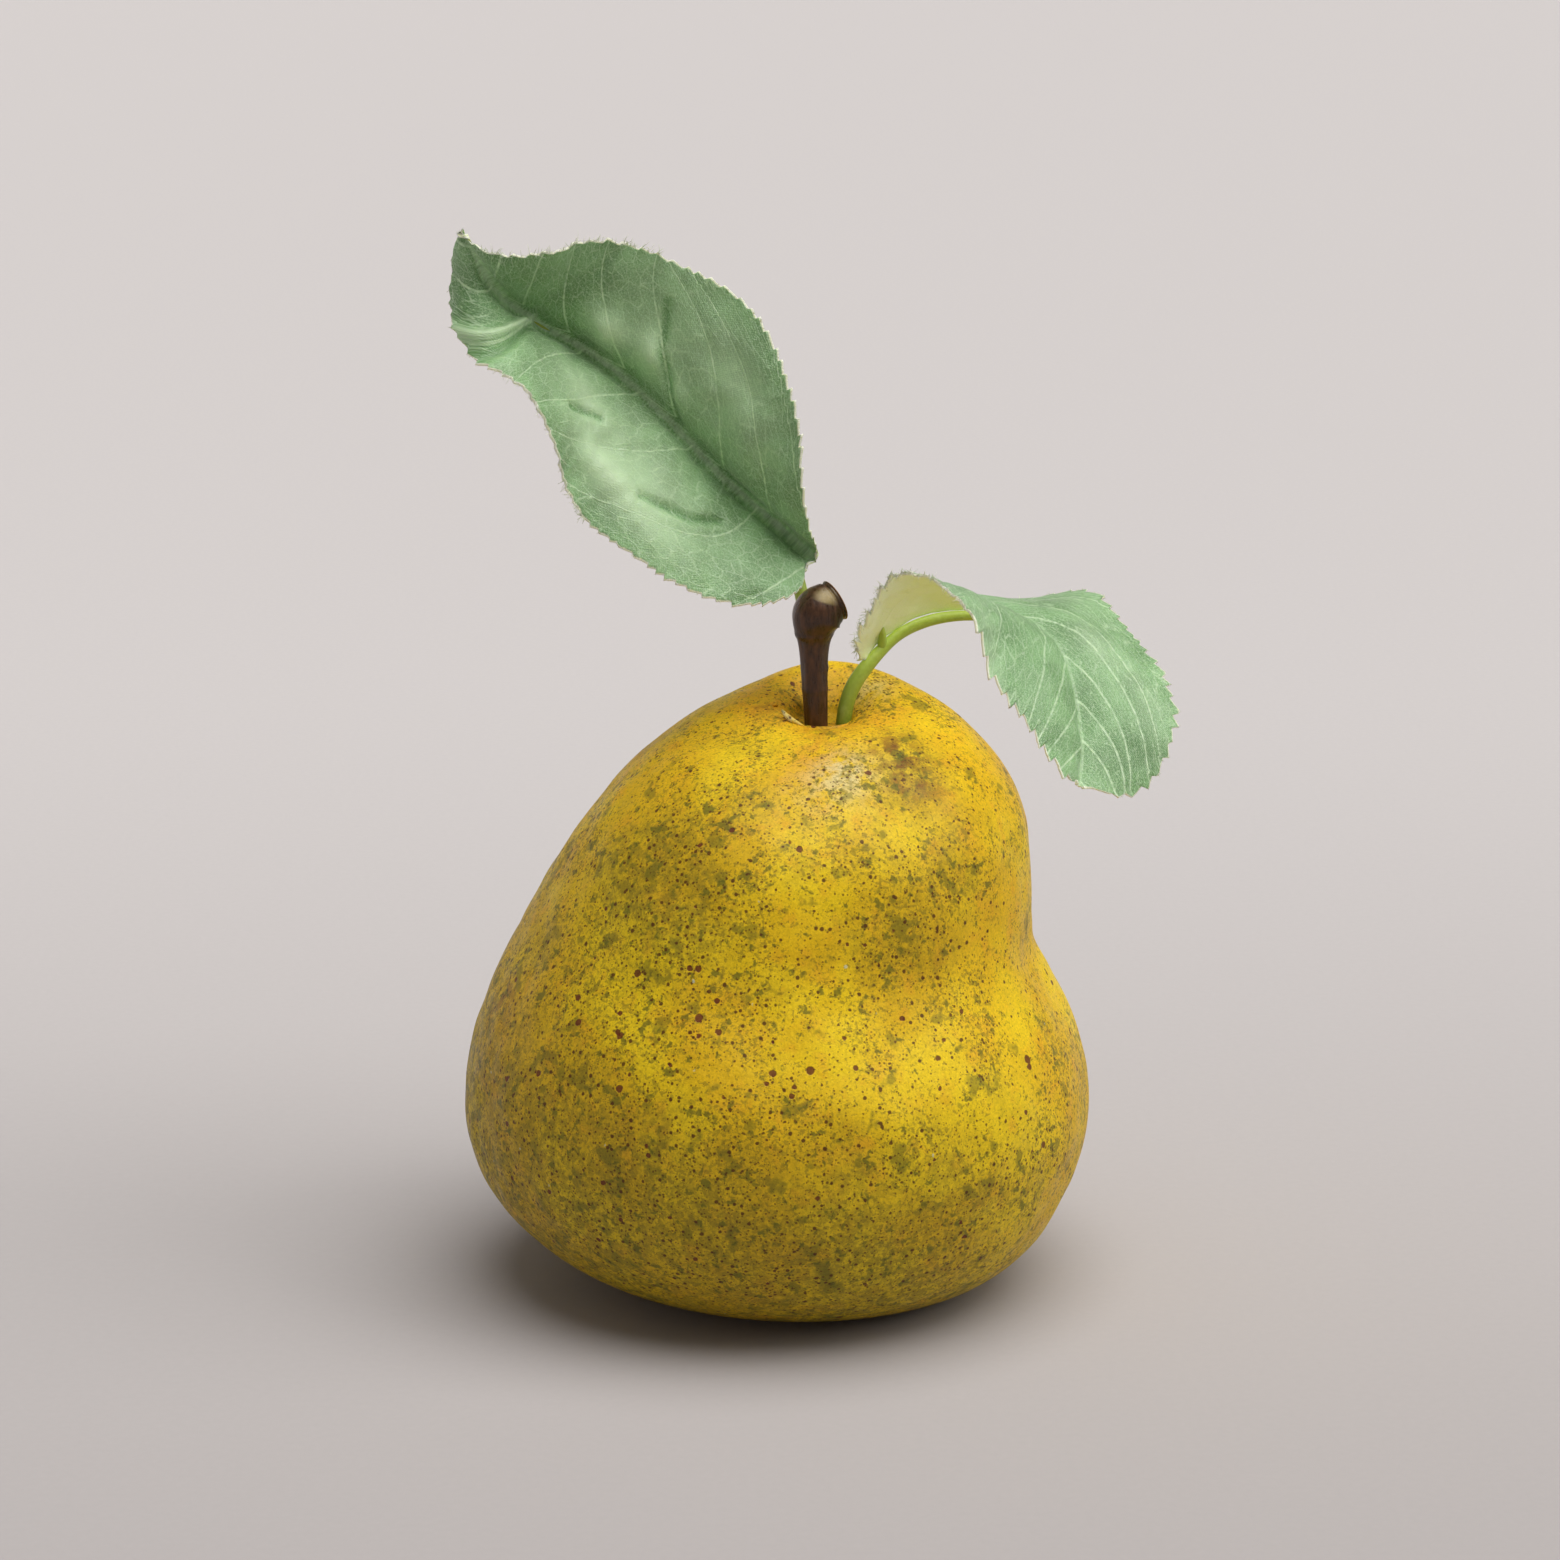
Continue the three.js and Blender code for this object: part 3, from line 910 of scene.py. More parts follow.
@dataclass(frozen=True)
class PrintedFabric:
    """Printed woven cloth: green with pale veins in front, cream behind and along the cut.

    The pitch of the weave is in millimetres, the depths of the relief in metres. Highlights and shade are
    painted on the print where the vertices carry them.
    """

    green: Colour = (0.25, 0.48, 0.19)
    deep: Colour = (0.115, 0.275, 0.075)
    vein: Colour = (0.62, 0.79, 0.52)
    back: Colour = (0.78, 0.88, 0.52)
    cream: Colour = (0.86, 0.9, 0.68)
    pitch: float = 0.3
    vein_depth: float = 0.00006
    weave_depth: float = 0.00007

    def material(self, effects: Effects) -> bpy.types.Material:
        """Draws the print on the cloth's own map, which is the leaf laid flat.

        Args:
            effects: the shared node groups.

        Returns:
            The finished material.
        """
        material, n, shader = new_material("leaf_fabric")
        flat = n.add("ShaderNodeUVMap", uv_map="cloth").outputs[0]
        flat = n.vector("SCALE", flat, 1 / CLOTH_MAP_SCALE)
        weave = n.group(effects.weave, Place=flat, Pitch=self.pitch)
        tone = weave.outputs["Tone"]
        veins = self._veins(n, flat)

        drift = n.math("ADD", n.noise(flat, 0.16, 3.0), n.math("MULTIPLY_ADD", tone, 1.1, -0.55))
        colour = n.mix(n.band(drift, 0.3, 0.7), self.deep, self.green)
        colour = n.mix(n.band(tone, 0.46, 0.66, 0.0, 0.4), colour, self.vein)
        colour = n.mix(veins, colour, self.vein)
        # Painted light: the print is paled towards the vein colour as a painted highlight and darkened
        # towards the deep green as painted shade; on the tip's fold ridge the paling is partly rubbed print.
        wear_sheen_and_shade = n.value("wear_sheen_and_shade")
        colour = n.mix(n.math("MULTIPLY", wear_sheen_and_shade, 0.8, clamp=True), colour, self.vein)
        colour = n.mix(n.math("MULTIPLY", wear_sheen_and_shade, -0.7, clamp=True), colour, self.deep)

        behind = n.mix(n.band(tone, 0.42, 0.6), self.back, self.cream)
        behind = n.mix(0.45, behind, self.back)
        colour = n.mix(n.value("underside"), colour, behind)
        torn = n.math("MULTIPLY_ADD", n.noise(flat, 2.2, 2.0), 0.6, -0.3)
        edge = n.band(n.math("ADD", n.value("cut_edge"), torn), 0.35, 0.8)
        n.feed(shader.inputs["Base Color"], n.mix(edge, colour, self.cream))
        shader.inputs["Roughness"].default_value = 0.42
        shader.inputs["Specular IOR Level"].default_value = 0.9
        shader.inputs["Sheen Weight"].default_value = 0.25
        shader.inputs["Sheen Roughness"].default_value = 0.4
        shader.inputs["Subsurface Weight"].default_value = 0.75
        shader.inputs["Subsurface Radius"].default_value = (1.0, 1.0, 0.7)
        shader.inputs["Subsurface Scale"].default_value = 0.0005
        raised = n.bump(veins, self.vein_depth)
        woven = n.bump(weave.outputs["Height"], self.weave_depth, under=raised)
        n.feed(shader.inputs["Normal"], woven)
        return material

    def _veins(self, n: Nodes, flat: Socket) -> Socket:
        """All the printed veins: the midrib, the side veins, and two nets of small ones.

        Args:
            n: helper of the material's tree.
            flat: places on the flat cloth, in millimetres.

        Returns:
            A mask, strongest on the side veins.
        """
        away = n.math("ABSOLUTE", n.split(flat)[1])
        wander = n.math("MULTIPLY_ADD", n.noise(flat, 0.5), 0.05, -0.025)
        count = n.math("ADD", n.value("vein_count"), wander)
        gap = n.math("ABSOLUTE", n.math("SUBTRACT", count, n.math("ROUND", count)))
        gap = n.math("MULTIPLY", gap, n.value("vein_pitch"))
        width = n.band(away, 1.0, 16.0, 0.15, 0.08)
        side_veins = n.band(gap, n.math("MULTIPLY", width, 0.4), n.math("MULTIPLY", width, 1.5), 1.0, 0.0)
        midrib = n.band(away, 0.08, 0.3, 1.0, 0.0)
        lines = n.math("MAXIMUM", n.math("MULTIPLY", side_veins, 0.9), n.math("MULTIPLY", midrib, 0.5))
        lines = n.math("MAXIMUM", lines, self._net(n, count, away, 5, 0.62, 0.5))
        lines = n.math("MAXIMUM", lines, self._net(n, count, away, 12, 1.5, 0.3))
        return n.math("MULTIPLY", lines, n.band(n.noise(flat, 1.3), 0.3, 0.6, 0.35, 1.0))

    def _net(
        self, n: Nodes, count: Socket, away: Socket, along: float, across: float, depth: float,
    ) -> Socket:
        """The net of small veins: the borders of random cells between one side vein and the next.

        Args:
            n: helper of the material's tree.
            count: side veins counted from the stalk.
            away: distance from the midrib, in millimetres.
            along: cells from one side vein to the next.
            across: cells per millimetre away from the midrib.
            depth: how strongly the net shows.

        Returns:
            A mask, depth on the lines.
        """
        cells = n.add("ShaderNodeTexVoronoi", feature="DISTANCE_TO_EDGE", voronoi_dimensions="2D")
        place = n.combine(n.math("MULTIPLY", count, along), n.math("MULTIPLY", away, across))
        n.feed(cells.inputs["Vector"], n.jitter(place, 1.5, 0.35))
        n.feed(cells.inputs["Scale"], 1.0)
        return n.band(cells.outputs["Distance"], 0.015, 0.075, depth, 0.0)


@dataclass(frozen=True)
class FrayedThread:
    """Loose polyester fibres at the cut edge."""

    cream: Colour = (0.82, 0.83, 0.68)
    tinted: Colour = (0.5, 0.62, 0.36)

    def material(self) -> bpy.types.Material:
        """Draws the fibres, some of them tinted by the print.

        Returns:
            The finished material.
        """
        material, n, shader = new_material("frayed_thread")
        tint = n.band(n.noise(n.millimetres(), 0.8, 2.0), 0.45, 0.65, 0.0, 0.7)
        n.feed(shader.inputs["Base Color"], n.mix(tint, self.cream, self.tinted))
        shader.inputs["Roughness"].default_value = 0.6
        shader.inputs["Sheen Weight"].default_value = 0.3
        return material


@dataclass(frozen=True)
class DrySepals:
    """Dull dark brown plastic of the flower end."""

    dark: Colour = (0.03, 0.017, 0.008)
    light: Colour = (0.11, 0.066, 0.03)
    wrinkle_depth: float = 0.0002

    def material(self, effects: Effects) -> bpy.types.Material:
        """Draws the sepals, paler towards their points.

        Args:
            effects: the shared node groups.

        Returns:
            The finished material.
        """
        material, n, shader = new_material("dry_calyx")
        place = n.millimetres()
        wrinkles = n.noise(n.vector("MULTIPLY", place, (1.5, 1.5, 3.0)), 1.0, 4.0, 0.65)
        shade = n.math("MULTIPLY", n.value("point"), n.band(wrinkles, 0.35, 0.65))
        colour, _ = effects.grained(n, n.mix(shade, self.dark, self.light), place, 0.35, 0.6)
        n.feed(shader.inputs["Base Color"], colour)
        n.feed(shader.inputs["Roughness"], n.band(wrinkles, 0.3, 0.7, 0.7, 0.9))
        n.feed(shader.inputs["Normal"], n.bump(wrinkles, self.wrinkle_depth))
        return material


@dataclass(frozen=True)
class FloorPaper:
    """Matt pale paper of the floor, with painted shade that makes it greyer in front. The painted shade fades
    out between two places along Y, in millimetres.
    """

    pale: Colour = (0.58, 0.552, 0.55)
    front: Colour = (0.4, 0.372, 0.37)
    shade_front_y: float = -300.0
    shade_back_y: float = 350.0

    def material(self) -> bpy.types.Material:
        """Draws the paper.

        Returns:
            The finished material.
        """
        material, n, shader = new_material("floor_paper")
        place = n.millimetres()
        # Painted shade: the paper greys towards the front.
        colour = n.mix(n.band(n.split(place)[1], self.shade_front_y, self.shade_back_y), self.front, self.pale)
        grain = n.math("MULTIPLY_ADD", n.noise(place, 0.9, 2.0), 0.05, 0.975)
        n.feed(shader.inputs["Base Color"], n.mix(1.0, colour, grain, "MULTIPLY"))
        shader.inputs["Roughness"].default_value = 0.95
        shader.inputs["Specular IOR Level"].default_value = 0.1
        return material


# ---------------------------------------------------------------- fruit


@dataclass(frozen=True)
class Patch:
    """A soft patch of paint round a place on the skin."""

    tint: Tint
    place: Point
    reach: float
    strength: float = 1.0


@dataclass(frozen=True)
class Hollow:
    """A soft hollow pressed into the skin, by its turn in degrees and its height; the rest in millimetres."""

    angle: float
    height: float
    depth: float
    around: float
    up: float


@dataclass
class Fruit:
    """The painted foam fruit: oval rings through four outlines, a basin below and a pocket in the crown.

    Glue fills the pocket to just under its rim, round the stem and the stalks. The outlines are pairs of
    distance from the middle and height. The pocket is its middle, half its width and half its depth.
    """

    right: Sequence[Pair] = (
        (19, 0), (26.3, 0.4), (33, 4.4), (38.3, 11.8), (41.3, 22), (40.6, 33), (34, 43),
        (32.8, 54), (32.8, 65), (24.5, 74.5), (16.5, 77.6), (12.6, 77.2), (10.7, 76.2), (9.9, 75.2),
    )
    left: Sequence[Pair] = (
        (-10, 0), (-18, 0.2), (-29.5, 5), (-37.4, 12.6), (-41.2, 22), (-39.6, 34), (-35.3, 44),
        (-29.5, 54), (-23.5, 64), (-13.5, 73.4), (-2.6, 77.2), (0.2, 77.3), (1.6, 76.7), (2.4, 75.8),
    )
    front: Sequence[Pair] = (
        (-13.5, 0), (-20, 0.2), (-30, 4.5), (-37, 12), (-40.5, 23), (-39.5, 34), (-34.5, 44),
        (-30.5, 54), (-26.5, 64), (-19, 71.5), (-10, 74.8), (-6.2, 75), (-4.3, 74.5), (-3.5, 73.7),
    )
    back: Sequence[Pair] = (
        (13.5, 0), (20, 0.2), (30, 4.5), (37, 12), (40.5, 23), (39.5, 34), (34.5, 44),
        (30.5, 54), (27, 64), (20, 74.5), (12.5, 80.3), (8.6, 79.6), (6, 77.6), (4.2, 75.8),
    )
    hollows: Sequence[Hollow] = (
        Hollow(-8, 45.5, 0.8, 9, 3),
        Hollow(-70, 47, 1.4, 20, 8),
        Hollow(-80, 70, 1.2, 6, 6),
        Hollow(-48, 71, 1.3, 5, 5),
    )
    basin: Sequence[Pair] = ((7, 0), (6.7, 1.4), (5.8, 3), (3.6, 4.3), (1.2, 4.6))
    basin_x: float = 4.5
    pocket: Bead = (6.1, 0.2, 3.8, 3.8)
    glue_below_rim: float = 0.9
    sliver: Sequence[Bead] = (
        (0.9, -3.1, 77, 0.3), (1.3, -3.7, 76.5, 0.34), (2.3, -4.3, 75.8, 0.36), (3.6, -4.6, 75.3, 0.3),
    )
    waves: Sequence[Lumps] = (Lumps(0.16, 13, 5), Lumps(0.05, 5, 6))
    sides: int = 360
    skin_rings: int = 190
    basin_rings: int = 14
    foot_rings: int = 6
    glue_rings: int = 8
    sliver_sides: int = 12
    sliver_rings: int = 40
    patches: Sequence[Patch] = (
        Patch(Tint.OLIVE_AND_SHADE, (-15.5, -20, 61), 7, 1.8),
        Patch(Tint.OLIVE_AND_SHADE, (-10, -26, 56), 6.5, 0.7),
        Patch(Tint.OLIVE_AND_SHADE, (16, -26.5, 53), 6.5, 0.7),
        Patch(Tint.OLIVE_AND_SHADE, (20, -21, 61), 6, 0.35),
        Patch(Tint.OLIVE_AND_SHADE, (23, -32.5, 19), 10, 0.25),
        Patch(Tint.OLIVE_AND_SHADE, (-27, -30, 22), 12, 0.7),
        Patch(Tint.OLIVE_AND_SHADE, (-38, 12, 28), 14, 0.4),
        Patch(Tint.OLIVE_AND_SHADE, (17, -15, 70.5), 5, 0.8),
        Patch(Tint.OLIVE_AND_SHADE, (-4, -19, 69), 4, 0.5),
        Patch(Tint.OLIVE_AND_SHADE, (10, 30, 52), 10, 0.6),
        Patch(Tint.OLIVE_AND_SHADE, (34, 16, 40), 8, 0.5),
        Patch(Tint.RUST, (15.5, -11.5, 74), 3.8, 0.9),
        Patch(Tint.RUST, (17.5, -15, 70.5), 3.2, 0.8),
        Patch(Tint.RUST, (6, -7, 75), 2.2, 0.5),
        Patch(Tint.RUST, (-1.5, -1, 77), 2.0, 0.6),
        Patch(Tint.RUST, (-35, -12, 41), 3.6, 0.7),
        Patch(Tint.RUST, (-20, 26, 38), 5, 0.5),
        Patch(Tint.BLUSH, (14, -4, 77), 4.5, 0.7),
        Patch(Tint.BLUSH, (24, -2, 73), 5, 0.4),
        Patch(Tint.BLUSH, (5.7, -3, 75), 5, 1.0),
        Patch(Tint.BLUSH, (-2, 0, 77), 5.5, 0.8),
        Patch(Tint.BLUSH, (6, -13, 73.5), 5, 1.0),
        Patch(Tint.BLUSH, (5, 8, 79), 6, 0.6),
        Patch(Tint.BLUSH, (-36, -14, 39), 7, 0.4),
        # Painted highlights: pale where the lamp's reflection lies in front of the pocket.
        Patch(Tint.PALE_AND_HIGHLIGHT, (9, -15.5, 72.3), 3.6, 0.75),
        Patch(Tint.PALE_AND_HIGHLIGHT, (6.5, -18, 71), 4.5, 0.35),
        Patch(Tint.PALE_AND_HIGHLIGHT, (12, 4, 78.5), 3, 0.5),
    )
    spots: Sequence[Spot] = (
        Spot((-17.3, -27.0, 49.2), 0.55),
        Spot((-10.6, -29.3, 50.8), 0.42),
        Spot((-9.3, -29.7, 50.8), 0.5),
        Spot((-7.2, -31.7, 47.6), 0.4),
        Spot((-9.1, -32.6, 45.0), 0.55),
        Spot((-24.3, -25.9, 42.7), 0.5),
        Spot((-19.5, -29.5, 42.8), 0.4),
        Spot((-29.3, -24.8, 35.7), 0.52),
        Spot((-19.3, -32.8, 36.5), 0.58),
        Spot((-33.6, -20.3, 32.9), 0.42),
        Spot((-33.7, -21.9, 27.8), 0.45),
        Spot((4.7, -36.0, 39.3), 0.6),
        Spot((9.7, -34.7, 39.5), 0.42),
        Spot((2.2, -37.5, 37.0), 0.42),
        Spot((15.6, -29.4, 44.3), 0.4),
        Spot((31.7, -21.3, 36.0), 0.65),
        Spot((31.3, -25.0, 30.6), 0.42),
        Spot((34.0, -22.2, 24.9), 0.5),
        Spot((3.0, -24.9, 64.3), 0.5),
        Spot((-5.5, -21.8, 66.1), 0.42),
        Spot((-15.4, -36.7, 28.8), 0.36),
    )

    def rings(self) -> Array:
        """All the rings, from the middle of the basin out and up the skin and down into the pocket.

        Returns:
            Points, rings by sides.
        """
        profile = spline(self.basin[::-1], np.linspace(0, 1, self.basin_rings))
        basin = self._oval(self.basin_x, 0, profile[:, 0], profile[:, 0], profile[:, 1])
        skin = self._skin(np.linspace(0, 1, self.skin_rings))
        share = np.linspace(0, 1, self.foot_rings + 2)[1:-1, None, None]
        foot = basin[-1] * (1 - share) + skin[0] * share
        x, y, half_width, half_depth = self.pocket
        sink = np.linspace(0, 1, self.glue_rings + 1)[1:]
        shrink = 1 - 0.75 * sink**1.5
        level = skin[-1, :, 2].mean() - self.glue_below_rim * sink**0.7
        glue = self._oval(x, y, half_width * shrink, half_depth * shrink, level)
        return np.concatenate([basin, foot, skin, glue])

    def _oval(self, x: float, y: float, half_width: Array, half_depth: Array, height: Array) -> Array:
        """Level oval rings: the middle plus half the width times the cosine, half the depth times the sine.

        Args:
            x: middle of every ring.
            y: the same, along Y.
            half_width: half the width of each ring.
            half_depth: half the depth of each ring.
            height: height of each ring.

        Returns:
            Points, rings by sides.
        """
        turn = self._turns()
        across = x + half_width[:, None] * np.cos(turn)
        deep = y + half_depth[:, None] * np.sin(turn)
        return np.stack([across, deep, np.broadcast_to(height[:, None], across.shape)], -1)

    def _turns(self) -> Array:
        """The turn of each side of a ring."""
        return np.linspace(0, 2 * math.pi, self.sides, endpoint=False)

    def _skin(self, fraction: Array) -> Array:
        """The painted skin.

        x swings between the left and right outlines with the cosine of the turn, y between the front
        and back ones with its sine, and the height swings through all four. Hollows push inwards.

        Args:
            fraction: places along the outlines, from the flat spot to the pocket's rim.

        Returns:
            Points, rings by sides.
        """
        turn = self._turns()
        right, left, front, back = (
            spline(outline, fraction)[:, None] for outline in (self.right, self.left, self.front, self.back)
        )
        x = (right[..., 0] + left[..., 0]) / 2 + (right[..., 0] - left[..., 0]) / 2 * np.cos(turn)
        y = (back[..., 0] + front[..., 0]) / 2 + (back[..., 0] - front[..., 0]) / 2 * np.sin(turn)
        mean = (right[..., 1] + left[..., 1] + front[..., 1] + back[..., 1]) / 4
        saddle = (right[..., 1] + left[..., 1] - front[..., 1] - back[..., 1]) / 4
        z = mean + (right[..., 1] - left[..., 1]) / 2 * np.cos(turn) + saddle * np.cos(2 * turn)
        z = z + (back[..., 1] - front[..., 1]) / 2 * np.sin(turn)
        heading = np.arctan2(y, x)
        distance = np.hypot(x, y)
        push = np.zeros_like(x)
        for hollow in self.hollows:
            away = (heading - math.radians(hollow.angle) + math.pi) % (2 * math.pi) - math.pi
            push += hollow.depth * bell(away * distance, hollow.around) * bell(z - hollow.height, hollow.up)
        points = np.stack([x - push * np.cos(heading), y - push * np.sin(heading), z], -1)
        free = smooth_step(z, 3, 18)[..., None] * smooth_step(1 - fraction, 0.02, 0.12)[:, None, None]
        wave = sum(lumps.at(points) for lumps in self.waves)
        return points + grid_normals(points, True) * wave[..., None] * free

    def tints(self, points: Array) -> dict[str, Array]:
        """How strong each tint is at each point: the sum of its patches' bell curves, plus painted shade in
        the olive towards the bottom and the left, at most 1.

        Args:
            points: design points.

        Returns:
            A number for each point, by the tint's name.
        """
        found = {tint.value: np.zeros(len(points)) for tint in Tint}
        for patch in self.patches:
            away = np.linalg.norm(points - np.array(patch.place), axis=-1)
            found[patch.tint.value] += patch.strength * bell(away, patch.reach)
        # Painted shade: olive laid on more thickly towards the bottom, less so on the right, and on the left
        # below the shoulder.
        low = 1 - smooth_step(points[:, 2], 2, 44)
        left = 1 - smooth_step(points[:, 0], -44, 6)
        right = smooth_step(points[:, 0], 5, 40)
        found[Tint.OLIVE_AND_SHADE.value] += 1.6 * low * (1 - 0.9 * right)
        found[Tint.OLIVE_AND_SHADE.value] += 0.6 * left * (1 - smooth_step(points[:, 2], 50, 72))
        return {name: np.clip(values, 0, 1) for name, values in found.items()}

    def flake(self, material: bpy.types.Material) -> bpy.types.Object:
        """Makes the sliver of lifted paint at the pocket's rim: a thin curl, pointed at both ends.

        Args:
            material: the fruit's paint.

        Returns:
            The piece, which rides the fruit's body.
        """
        path = spline(self.sliver, np.linspace(0, 1, self.sliver_rings))
        path[:, 3] *= np.sin(math.pi * np.linspace(0.04, 0.96, self.sliver_rings)) ** 0.6
        vertices = ring_vertices(rod_rings(path, self.sliver_sides))
        faces = ring_faces(self.sliver_rings, self.sliver_sides)
        tint = {name.value: np.full(len(vertices), float(name is Tint.PALE_AND_HIGHLIGHT)) for name in Tint}
        return make_piece("paint_flake", vertices, faces, material, tint)

    def build(self, effects: Effects) -> bpy.types.Object:
        """Makes the fruit.

        Args:
            effects: the shared node groups.

        Returns:
            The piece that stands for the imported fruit.
        """
        rings = self.rings()
        points = ring_vertices(rings)
        spots = []
        for spot in self.spots:
            nearest = np.argmin(np.linalg.norm(points - np.array(spot.place), axis=-1))
            spots.append(Spot(tuple(points[nearest]), spot.radius))
        material = PaintedSkin().material(effects, spots)
        faces = ring_faces(len(rings), self.sides)
        self.flake(material)
        piece = make_piece("fruit", points, faces, material, self.tints(points))
        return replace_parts(piece, "pear_body")


@dataclass
class FlowerEnd:
    """The dried flower end in the basin: a ring of thin curled points round a small cup."""

    middle: Pair = (4.5, 0.0)
    points: int = 5
    profile: Sequence[Pair] = ((1.6, 4.1), (3, 3.7), (4.3, 2.5), (3.7, 2), (2, 2.9), (0.8, 3))
    lobe: float = 0.2
    tip_reach: float = 4.8
    wrinkles: Lumps = Lumps(0.08, 1.8, 9)
    sides: int = 150
    rings: int = 60

    def build(self, effects: Effects) -> bpy.types.Object:
        """Makes the star: each ring's radius swells with the cosine of five times the turn.

        Args:
            effects: the shared node groups.

        Returns:
            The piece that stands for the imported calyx.
        """
        fraction = np.linspace(0, 1, self.rings)
        profile = spline(self.profile, fraction)
        turn = np.linspace(0, 2 * math.pi, self.sides, endpoint=False)
        swell = np.cos(self.points * turn)
        lobe = self.lobe * np.sin(math.pi * fraction)[:, None] ** 0.5
        reach = profile[:, :1] * (1 + lobe * (0.5 + 0.5 * swell) ** 0.6 * 1.4 - 0.25 * lobe)
        height = profile[:, 1:] - 0.25 * lobe * swell * np.sin(math.pi * fraction)[:, None]
        across, deep = reach * np.cos(turn), reach * np.sin(turn)
        grid = np.stack([self.middle[0] + across, self.middle[1] + deep, height], -1)
        grid += self.wrinkles.at(grid)[..., None] * np.sin(math.pi * fraction)[:, None, None]
        away = np.hypot(grid[..., 0] - self.middle[0], grid[..., 1] - self.middle[1])
        point = np.clip(away / self.tip_reach, 0, 1) ** 2
        values = {"point": pole_values(point[::-1])}
        material = DrySepals().material(effects)
        faces = ring_faces(self.rings, self.sides)
        piece = make_piece("flower_end", ring_vertices(grid[::-1]), faces, material, values)
        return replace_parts(piece, "calyx")


# ---------------------------------------------------------------- moulded rods


def rod_rings(path: Array, sides: int, relief: Callable[[Array, Array], Array] | None = None) -> Array:
    """Rings set square to a path that never runs along Y.

    Each ring's first axis is Y crossed with the path's direction, and its second the direction crossed
    with the first.

    Args:
        path: points with their radius, x, y, z, r.
        sides: vertices in each ring.
        relief: extra radius for a share of the path and a turn.

    Returns:
        Points, rings by sides.
    """
    along = unit(np.gradient(path[:, :3], axis=0))
    across = unit(np.cross([0.0, 1.0, 0.0], along))
    upward = np.cross(along, across)
    turn = np.linspace(0, 2 * math.pi, sides, endpoint=False)
    share = np.linspace(0, 1, len(path))[:, None]
    radius = path[:, 3:4] + (relief(share, turn[None, :]) if relief else 0.0)
    spread = across[:, None] * np.cos(turn)[None, :, None] + upward[:, None] * np.sin(turn)[None, :, None]
    return path[:, None, :3] + spread * radius[..., None]


